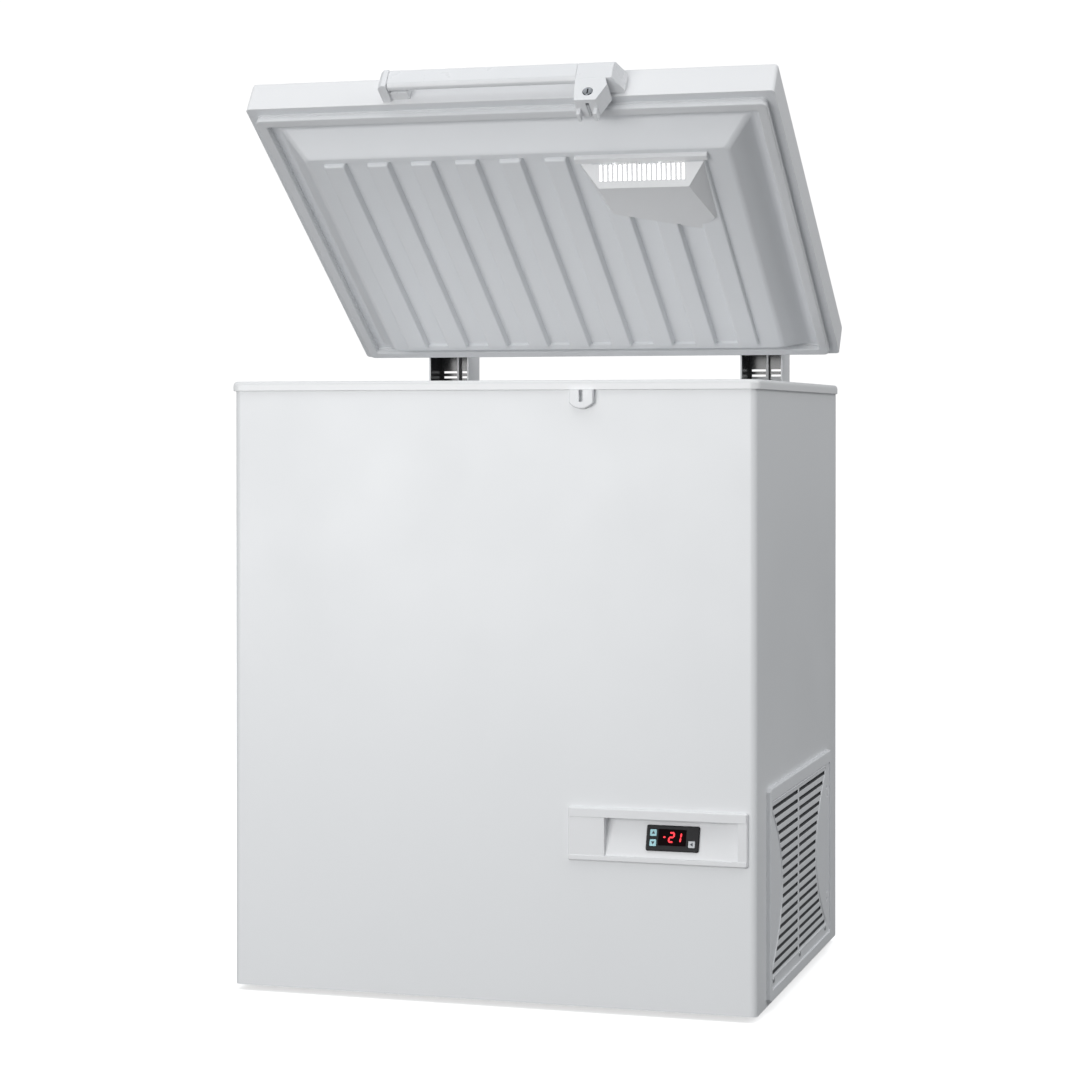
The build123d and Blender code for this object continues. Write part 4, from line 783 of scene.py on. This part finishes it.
def coil_tree():
    """Node tree: a round wire wound along Z."""
    tree, given, keys = start_tree("wound_wire", ("Coils", "Float"), ("Coil Radius", "Float"),
                                   ("Length", "Float"), ("Wire Radius", "Float"))
    spiral = add_node(tree, "GeometryNodeCurveSpiral", Resolution=24, Rotations=given["Coils"],
                      Start_Radius=given["Coil Radius"], End_Radius=given["Coil Radius"],
                      Height=given["Length"])
    section = add_node(tree, "GeometryNodeCurvePrimitiveCircle", Resolution=10,
                       Radius=given["Wire Radius"])
    wire = add_node(tree, "GeometryNodeCurveToMesh", Curve=spiral.outputs["Curve"],
                    Profile_Curve=section.outputs["Curve"], Fill_Caps=True)
    return finish_tree(tree, given, keys, wire.outputs["Mesh"])


def ridge_tree():
    """Node tree: a round ridge along the edges of the given outline."""
    tree, given, keys = start_tree("ridge_on_outline", ("Ridge Radius", "Float"),
                                   ("Bend Radius", "Float"))
    line = add_node(tree, "GeometryNodeMeshToCurve", Mesh=given["Piece"])
    bend = add_node(tree, "GeometryNodeFilletCurve", Curve=line.outputs["Curve"],
                    Radius=given["Bend Radius"], Limit_Radius=True)
    bend.mode = "POLY"
    bend.inputs["Count"].default_value = 4
    section = add_node(tree, "GeometryNodeCurvePrimitiveCircle", Resolution=8,
                       Radius=given["Ridge Radius"])
    ridge = add_node(tree, "GeometryNodeCurveToMesh", Curve=bend.outputs["Curve"],
                     Profile_Curve=section.outputs["Curve"])
    return finish_tree(tree, given, keys, ridge.outputs["Mesh"])


def grown(tree_and_keys, mesh, **values):
    """The plain mesh that a node tree makes from a mesh and its named inputs."""
    tree, keys = tree_and_keys
    host = in_scene("host", mesh)
    modifier = host.modifiers.new("made", "NODES")
    modifier.node_group = tree
    for label, value in values.items():
        modifier[keys[label.replace("_", " ")]] = value
    return applied(host)


ROW = row_tree()
PLACED = placed_tree()
COIL = coil_tree()
RIDGE = ridge_tree()


def joined(*meshes):
    bm = bmesh.new()
    for mesh in meshes:
        bm.from_mesh(mesh)
    return mesh_of(bm, "joined")


# Lid

def make_lid_liner():
    """The vacuum formed plug with its recessed pan and its row of ribs."""
    play = 0.2
    flange, flange_depth = LID_WIDTH - 2 * SHEET - play, LID_DEPTH - 2 * SHEET - play
    width, depth, middle, rib_front, rib_back = plug_places()
    slope = 2 * PLUG_DROP
    pan, pan_depth = RIB_PITCH * (RIB_COUNT - 1), rib_back - rib_front
    pan_middle = (rib_back + rib_front) / 2
    pan_level = PLUG_FACE + GROOVE_DEPTH
    pan_cap, pan_draft, pan_ease = 12, 2.4, 1.2
    seen = [(pan - pan_cap, pan_depth - pan_cap, 1, pan_level, pan_middle, 0),
            (pan - pan_draft, pan_depth - pan_draft, 2, pan_level, pan_middle, pan_ease),
            (pan, pan_depth, 2, PLUG_FACE, pan_middle, pan_ease),
            (width - slope, depth - slope, PLUG_CORNER, PLUG_FACE, middle, PLUG_ROUND),
            (width, depth, PLUG_CORNER, LID_LOW, middle, PLUG_ROUND),
            (flange, flange_depth, 3, LID_LOW, LID_MIDDLE_Y, 0)]
    hidden = [(a, b, c, z + LINER_SHEET, y, ease) for a, b, c, z, y, ease in reversed(seen)]
    shell = ring_skin(seen + hidden, IN_PLACE, "liner_shell")
    foot = pan_level + 0.5
    crest = PLUG_FACE - RIB_HEIGHT
    rib = [(RIB_WIDTH + RIB_DRAFT, pan_depth + RIB_DRAFT - 1, 3, foot, pan_middle, 0),
           (RIB_WIDTH - RIB_DRAFT, pan_depth - RIB_DRAFT, 3, crest, pan_middle, 2.6),
           (RIB_WIDTH - 12, pan_depth - 12, 1, crest, pan_middle, 0)]
    first = Matrix.Translation(((RIB_SHIFT - pan / 2) * MM, 0, 0)) @ IN_PLACE
    ribs = grown(ROW, ring_skin(rib, first, "liner_rib"), Count=RIB_COUNT,
                 Step=(RIB_PITCH * MM, 0, 0), Finish=LINER_PLASTIC)
    liner = shaded(joined(shell, ribs), angle=50)
    liner.transform(OPENED)
    stand_for("lid_liner", liner)


def make_lid_foam():
    """The foam under the lid's cover, down into the plug."""
    width, depth, middle, _, _ = plug_places()
    pulled, play, bevel = 5.0, 1.0, 5.0
    slope = 2 * PLUG_DROP + pulled
    face = PLUG_FACE + GROOVE_DEPTH + LINER_SHEET + 0.6
    block, block_depth = LID_WIDTH - 2 * SHEET - play, LID_DEPTH - 2 * SHEET - play
    top, foot = LID_LOW + LID_THICKNESS - SHEET - 0.3, LID_LOW + LINER_SHEET + 0.1
    levels = [(block - 2 * bevel, block_depth - 2 * bevel, 3, top, LID_MIDDLE_Y, 0),
              (block, block_depth, 3, top - bevel, LID_MIDDLE_Y, 0),
              (block, block_depth, 3, foot, LID_MIDDLE_Y, 0),
              (width - pulled, depth - pulled, PLUG_CORNER, foot, middle, 0),
              (width - slope, depth - slope, PLUG_CORNER, face, middle, 0)]
    stand_for("lid_foam", shaded(ring_skin(levels, ON_OPEN_LID, "foam")))


def make_gasket():
    """A soft bellows gasket: a foot strip, a waist and the rounded magnet bead."""
    side_gap, front_gap, back_gap = 12.0, 13.0, 12.0
    foot, waist, bead_top, bead_low = LID_LOW - 2.6, LID_LOW - 3.8, LID_LOW - 5.0, RIM_TOP + 0.3
    waist_inset, bead_round = 1.8, 2.2
    width, depth = LID_WIDTH - 2 * side_gap, LID_DEPTH - front_gap - back_gap
    middle = LID_MIDDLE_Y + (front_gap - back_gap) / 2
    outside = [(0, LID_LOW, 0), (0, foot, 0), (waist_inset, waist, 0), (0, bead_top, 0),
               (0, bead_low, bead_round)]
    inside = [(GASKET_WIDTH - inset, z, ease) for inset, z, ease in reversed(outside)]
    levels = [(width - 2 * inset, depth - 2 * inset, max(GASKET_CORNER - 0.4 * inset, 3), z,
               middle, ease) for inset, z, ease in outside + inside]
    stand_for("lid_gasket", ring_of(eased(levels, steps=4), ON_OPEN_LID, "gasket"))


# Cabinet

def make_rim():
    """The moulded frame on the cabinet's edge, rolled over at its top."""
    width, depth = CABINET_WIDTH + 2 * RIM_OVERHANG, CABINET_DEPTH + 2 * RIM_OVERHANG
    corner = CORNER_RADIUS + RIM_OVERHANG
    levels = [(*HOLE, CHAMBER_CORNER, RIM_UNDER, OPENING_MIDDLE_Y, 0),
              (width, depth, corner, RIM_UNDER, SHIFT_Y, 0.8),
              (width, depth, corner, RIM_TOP, SHIFT_Y, RIM_ROUND),
              (*OPENING, CHAMBER_CORNER, RIM_TOP, OPENING_MIDDLE_Y, 2.0),
              (*HOLE, CHAMBER_CORNER, RIM_UNDER, OPENING_MIDDLE_Y, 0)]
    stand_for("rim_frame", ring_of(eased(levels)[:-1], IN_PLACE, "rim"))


def make_well():
    """The sloped collar and the chamber under it, each a sheet with its corners drawn round."""
    def wall(size, z, grow=0.0, ease=0):
        return (size[0] + 2 * grow, size[1] + 2 * grow, CHAMBER_CORNER + grow, z,
                OPENING_MIDDLE_Y, ease)

    collar = [wall(CHAMBER, COLLAR_LOW), wall(HOLE, RIM_UNDER), wall(HOLE, RIM_UNDER, LINER_SHEET),
              wall(CHAMBER, COLLAR_LOW, LINER_SHEET)]
    stand_for("breaker_collar", ring_of([level[:5] for level in collar], IN_PLACE, "collar"))
    floor, under = CHAMBER_FLOOR, CHAMBER_FLOOR - LINER_SHEET
    middle = CHAMBER[0] - 60, CHAMBER[1] - 60, 1
    chamber = [(*middle, floor, OPENING_MIDDLE_Y, 0), wall(CHAMBER, floor, ease=FLOOR_ROUND),
               wall(CHAMBER, COLLAR_LOW), wall(CHAMBER, COLLAR_LOW, LINER_SHEET),
               wall(CHAMBER, under, LINER_SHEET, FLOOR_ROUND),
               (*middle, under, OPENING_MIDDLE_Y, 0)]
    stand_for("inner_liner", shaded(ring_skin(chamber, IN_PLACE, "chamber")))


def corners(points):
    """The lowest and highest corners of the box round some points."""
    return [Vector(pick(point[i] for point in points) for i in range(3)) for pick in (min, max)]


def loose_parts(node):
    """The lowest and highest corners of each solid in a node, a lid's node turned shut."""
    bm = merged(node)
    to_shut = SHUT if BODY_OF[node] == "lid" else Matrix.Identity(4)
    waiting = set(bm.verts)
    parts = []
    while waiting:
        queue = [waiting.pop()]
        points = []
        while queue:
            vertex = queue.pop()
            points.append(to_shut @ vertex.co)
            for edge in vertex.link_edges:
                other = edge.other_vert(vertex)
                if other in waiting:
                    waiting.discard(other)
                    queue.append(other)
        parts.append(corners(points))
    bm.free()
    return sorted(parts, key=lambda part: tuple(part[0]))


def stand_in_places(node, one, places, turn=(0, 0, 0)):
    """Copies of one mesh at places in metres, standing for a node of repeated solids."""
    spots = bpy.data.meshes.new("places")
    spots.from_pydata([tuple(place) for place in places], [], [])
    marks = in_scene("places", spots)
    mesh = grown(PLACED, one, Places=marks, Turn=turn, Finish=NODE_FINISH[node])
    bpy.data.objects.remove(marks)
    if BODY_OF[node] == "lid":
        mesh.transform(OPENED)
    stand_for(node, mesh)


ALONG_X = (0, math.radians(90), 0)
ALONG_Y = (math.radians(-90), 0, 0)
# Head radius, head height, shank radius, length, turn
SCREWS = {
    "grille_screws": (4.0, 1.8, 1.8, 14, ALONG_X), "rear_cover_screws": (4.2, 2.6, 2.0, 8, ALONG_Y),
    "hinge_bracket_screws": (5.0, 3.0, 2.5, 3.7, ALONG_Y),
    "hinge_arm_screws": (4.5, 2.6, 2.5, 3, ALONG_Y),
}


def screw_mesh(head, height, shank, length):
    """A pan head screw along +Z, seated at Z = 0, with a cross recess."""
    profile = [(shank, -length), (shank, -0.05), (head, 0), (head, 0.3 * height),
               (0.9 * head, 0.68 * height), (0.7 * head, 0.92 * height), (0.58 * head, height),
               (0.4 * head, height), (0.3 * head, 0.35 * height)]
    return shaded(turned(profile, "screw", recess_from=7), angle=40)


def make_screws():
    for node, (head, height, shank, length, turn) in SCREWS.items():
        axis = 0 if turn == ALONG_X else 1
        places = []
        for low, high in loose_parts(node):
            place = (low + high) / 2
            place[axis] = high[axis] - height * MM
            places.append(place)
        stand_in_places(node, screw_mesh(head, height, shank, length), places, turn)


def make_feet():
    profile = [(FOOT_RADIUS - 6, 0), (FOOT_RADIUS - 4, 0.05), (FOOT_RADIUS - 2.4, 0.5),
               (FOOT_RADIUS - 1.6, 1.5), (FOOT_RADIUS, FOOT_HEIGHT - 1), (FOOT_RADIUS, FOOT_HEIGHT)]
    places = []
    for low, high in loose_parts("feet"):
        place = (low + high) / 2
        place.z = low.z
        places.append(place)
    stand_in_places("feet", shaded(turned(profile, "foot"), angle=40), places)


def make_springs():
    """The wound counterbalance springs round the hinge pins."""
    play, slack = 0.4, 0.1
    for node in ("hinge_spring_left", "hinge_spring_right"):
        low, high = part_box(node)
        length = high[0] - low[0] - 2 * SPRING_WIRE * MM
        mesh = grown(COIL, bpy.data.meshes.new("seed"), Coils=SPRING_COILS,
                     Coil_Radius=(HINGE_PIN_RADIUS + play + SPRING_WIRE) * MM, Length=length,
                     Wire_Radius=(SPRING_WIRE - slack) * MM, Finish=SPRING_STEEL)
        mesh.shade_smooth()
        mesh.transform(Matrix.Translation((low[0] + SPRING_WIRE * MM, HINGE.y, HINGE.z))
                       @ Matrix.Rotation(math.radians(90), 4, "Y"))
        stand_for(node, mesh)


def make_fins():
    """Stacks of thin fins between the passes of the condenser."""
    stacks = []
    step = FIN_PITCH * MM
    for low, high in loose_parts("condenser_fins"):
        size = high - low
        bm = bmesh.new()
        centre = (low.x + size.x / 2, low.y + step / 2, low.z + size.z / 2)
        sheet = Matrix.Diagonal((size.x, FIN_SHEET * MM, size.z, 1))
        bmesh.ops.create_cube(bm, size=1, matrix=Matrix.Translation(centre) @ sheet)
        stacks.append(grown(ROW, mesh_of(bm, "fin"), Count=int(size.y / step), Step=(0, step, 0),
                            Finish=ALUMINIUM))
    stand_for("condenser_fins", joined(*stacks))


def make_hinge_brackets():
    """White folded brackets, black inside where the spring sits."""
    web = HINGE.y + (HINGE_PIN_RADIUS + 6.4) * MM
    for node, x in HINGE_X.items():
        mesh = coat(softened(node, 0.4), POWDER_WHITE, ENAMEL_BLACK)
        for face in mesh.polygons:
            off = abs(face.center.x / MM - x)
            if BRACKET_SHEET < off < HINGE_HALF + 0.3 and face.center.y < web:
                face.material_index = 1
        stand_for(node, mesh, has_coat=True)


def box_mm(node):
    return [Vector(corner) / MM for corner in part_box(node)]


def bar_mesh(low, high, width, place=IN_PLACE):
    """A bar between two corners in millimetres, with its edges rounded."""
    middle = [(a + b) / 2 for a, b in zip(low, high)]
    size = Matrix.Diagonal((*[b - a for a, b in zip(low, high)], 1))
    bm = bmesh.new()
    bmesh.ops.create_cube(bm, size=1, matrix=Matrix.Translation(middle) @ size)
    bmesh.ops.bevel(bm, geom=bm.edges[:], offset=width, segments=3, profile=0.5, affect="EDGES")
    bmesh.ops.transform(bm, matrix=place, verts=bm.verts)
    return shaded(mesh_of(bm, "bar"), angle=50)


def make_lamp_foot():
    """The raised foot along the front of the lamp housing."""
    front = LID_BACK_Y - LAMP_FRONT
    mesh = bar_mesh((LAMP_LEFT - 2, front - 8.5, PLUG_FACE - 7.2),
                    (LAMP_RIGHT + 2, front + 2, PLUG_FACE + 0.8), 1.6, ON_OPEN_LID)
    add_piece("lamp_foot", coat(mesh, LAMP_PLASTIC), "lamp_housing")


def make_panel_bands():
    """The raised bands along the control panel's upper and lower edges."""
    edge, proud, sunk = 1.6, 0.9, 0.6
    upper_drop, lower_top = 13, 7.5
    low, high = box_mm("control_panel")
    for name, foot, top in (("panel_upper_band", high.z - upper_drop, high.z - edge),
                            ("panel_lower_band", low.z + edge, low.z + lower_top)):
        mesh = bar_mesh((low.x + edge, low.y - proud, foot),
                        (high.x - edge, low.y + sunk, top), 0.5)
        add_piece(name, coat(mesh, PANEL_PLASTIC), "control_panel")


# Side grille

def make_grille():
    """The louvred side grille, the walls inside its slots painted near black as painted shade."""
    mesh = coat(softened("side_grille", 0.4), GRILLE_PLASTIC, GRILLE_PAINTED_SHADE)
    low, high = box_mm("side_grille")
    field, edge, back_edge, level = high.x - 2.8, 14, 30, 0.95
    for face in mesh.polygons:
        x, y, z = face.center / MM
        in_slots = low.y + edge < y < high.y - back_edge and low.z + edge < z < high.z - edge
        # Faces inside the slots take the painted shade
        if x < field and abs(face.normal.x) < level and in_slots:
            face.material_index = 1
    stand_for("side_grille", mesh, has_coat=True)


def make_grille_ridge():
    """The moulded ridge that follows the ends of the louvre slots."""
    low, high = box_mm("side_grille")
    clear, below, above, sunk = 5, 8, 7, 2.4
    field_low, field_high = low.y + GRILLE_FRONT_FRAME, high.y - GRILLE_BACK_FRAME
    pinch = GRILLE_PINCH * (field_high - field_low)
    half_rows = (GRILLE_ROWS - 1) / 2
    front_side, back_side = [], []
    for row in range(GRILLE_ROWS):
        share = (row - half_rows) / half_rows
        inward = pinch * (1 - share * share) - clear
        z = GRILLE_FIRST + row * GRILLE_PITCH
        front_side.append((field_low + inward, z))
        back_side.append((field_high - inward, z))
    foot, top = GRILLE_FIRST - below, front_side[-1][1] + above
    outline = ([(front_side[0][0], foot), *front_side, (front_side[-1][0], top),
                (back_side[-1][0], top), *reversed(back_side), (back_side[0][0], foot)])
    line = bpy.data.meshes.new("ridge_line")
    count = len(outline)
    line.from_pydata([((high.x - sunk) * MM, y * MM, z * MM) for y, z in outline],
                     [(i, (i + 1) % count) for i in range(count)], [])
    mesh = grown(RIDGE, line, Ridge_Radius=1.3 * MM, Bend_Radius=4 * MM, Finish=GRILLE_PLASTIC)
    mesh.shade_smooth()
    add_piece("grille_ridge", coat(mesh, GRILLE_PLASTIC), "side_grille")


# Controller face

OUT_OF_FACE = -Vector(JOINTS["up_button_press"]["axis"])
RIGHT = Vector((1, 0, 0))
# The turn of the controller's face: X right, Y up the slope, Z outwards
FACE_TURN = Matrix((RIGHT, OUT_OF_FACE.cross(RIGHT), OUT_OF_FACE)).transposed().to_4x4()
PRINT_GAP = 0.01
SEGMENTS_OF = {"2": "abged", "1": "bc", "-": "g"}


def face_centre(node):
    """The middle of a node's outermost face on the controller."""
    points = [vertex.co.copy() for vertex in frame["nodes"][node].data.vertices]
    far = max(point.dot(OUT_OF_FACE) for point in points)
    low, high = corners([point for point in points if point.dot(OUT_OF_FACE) > far - 0.05 * MM])
    return (low + high) / 2


def on_face(node, x=0.0, y=0.0):
    """The frame of a print on a node's face, moved by some millimetres."""
    return (Matrix.Translation(face_centre(node)) @ FACE_TURN
            @ Matrix.Translation((x * MM, y * MM, PRINT_GAP * MM)))


def prism(bm, outline, height, place):
    """Adds a flat prism with an outline in millimetres on a face's frame."""
    lower = [bm.verts.new(place @ Vector((x * MM, y * MM, 0))) for x, y in outline]
    upper = [bm.verts.new(place @ Vector((x * MM, y * MM, height * MM))) for x, y in outline]
    bm.faces.new(list(reversed(lower)))
    bm.faces.new(upper)
    for i in range(len(outline)):
        j = (i + 1) % len(outline)
        bm.faces.new((lower[i], lower[j], upper[j], upper[i]))


def segment_outline(segment, width, height, thick):
    """One bar of a seven bar digit as a six sided outline, the digit centred on zero."""
    w, h, t = width / 2, height / 2, thick / 2
    level = {"a": h, "g": 0, "d": -h}
    if segment in level:
        y = level[segment]
        return [(-w, y), (-w + t, y - t), (w - t, y - t), (w, y), (w - t, y + t), (-w + t, y + t)]
    x = w if segment in "bc" else -w
    middle = h / 2 if segment in "bf" else -h / 2
    half = h / 2 - 0.1
    return [(x, middle - half), (x + t, middle - half + t), (x + t, middle + half - t),
            (x, middle + half), (x - t, middle + half - t), (x - t, middle - half + t)]


def make_digits():
    """The lit digits behind the window."""
    bm = bmesh.new()
    width, height, thick, lean, pitch = 6.0, 12.0, 2.1, 0.12, 9.5
    slant = Matrix(((1, lean, 0, 0), (0, 1, 0, 0), (0, 0, 1, 0), (0, 0, 0, 1)))
    for i, sign in enumerate("-21"):
        place = on_face("display_window", (i - 1) * pitch - 1.0, 0.3) @ slant
        for segment in SEGMENTS_OF[sign]:
            wide = width * 0.6 if sign == "-" else width
            prism(bm, segment_outline(segment, wide, height, thick), 0.06, place)
    add_piece("display_digits", coat(mesh_of(bm, "digits"), DIGIT_GLOW), "display_window")


def make_arrows():
    """A printed arrow on each button."""
    for node, angle in (("up_button", 0), ("down_button", 180), ("set_button", 90)):
        bm = bmesh.new()
        place = on_face(node) @ Matrix.Rotation(math.radians(angle), 4, "Z")
        prism(bm, [(-2.4, -1.6), (2.4, -1.6), (0, 2.4)], 0.08, place)
        add_piece(node + "_arrow", coat(mesh_of(bm, "arrow"), ARROW_INK), node)


make_camera()
make_lights()
make_surroundings()
make_floor()
finish_nodes()
soften_pieces()
round_pipes()
make_lid_skin()
make_lid_liner()
make_lid_foam()
make_gasket()
make_rim()
make_well()
make_screws()
make_feet()
make_springs()
make_fins()
make_hinge_brackets()
make_lamp_foot()
make_panel_bands()
make_grille()
make_grille_ridge()
make_digits()
make_arrows()
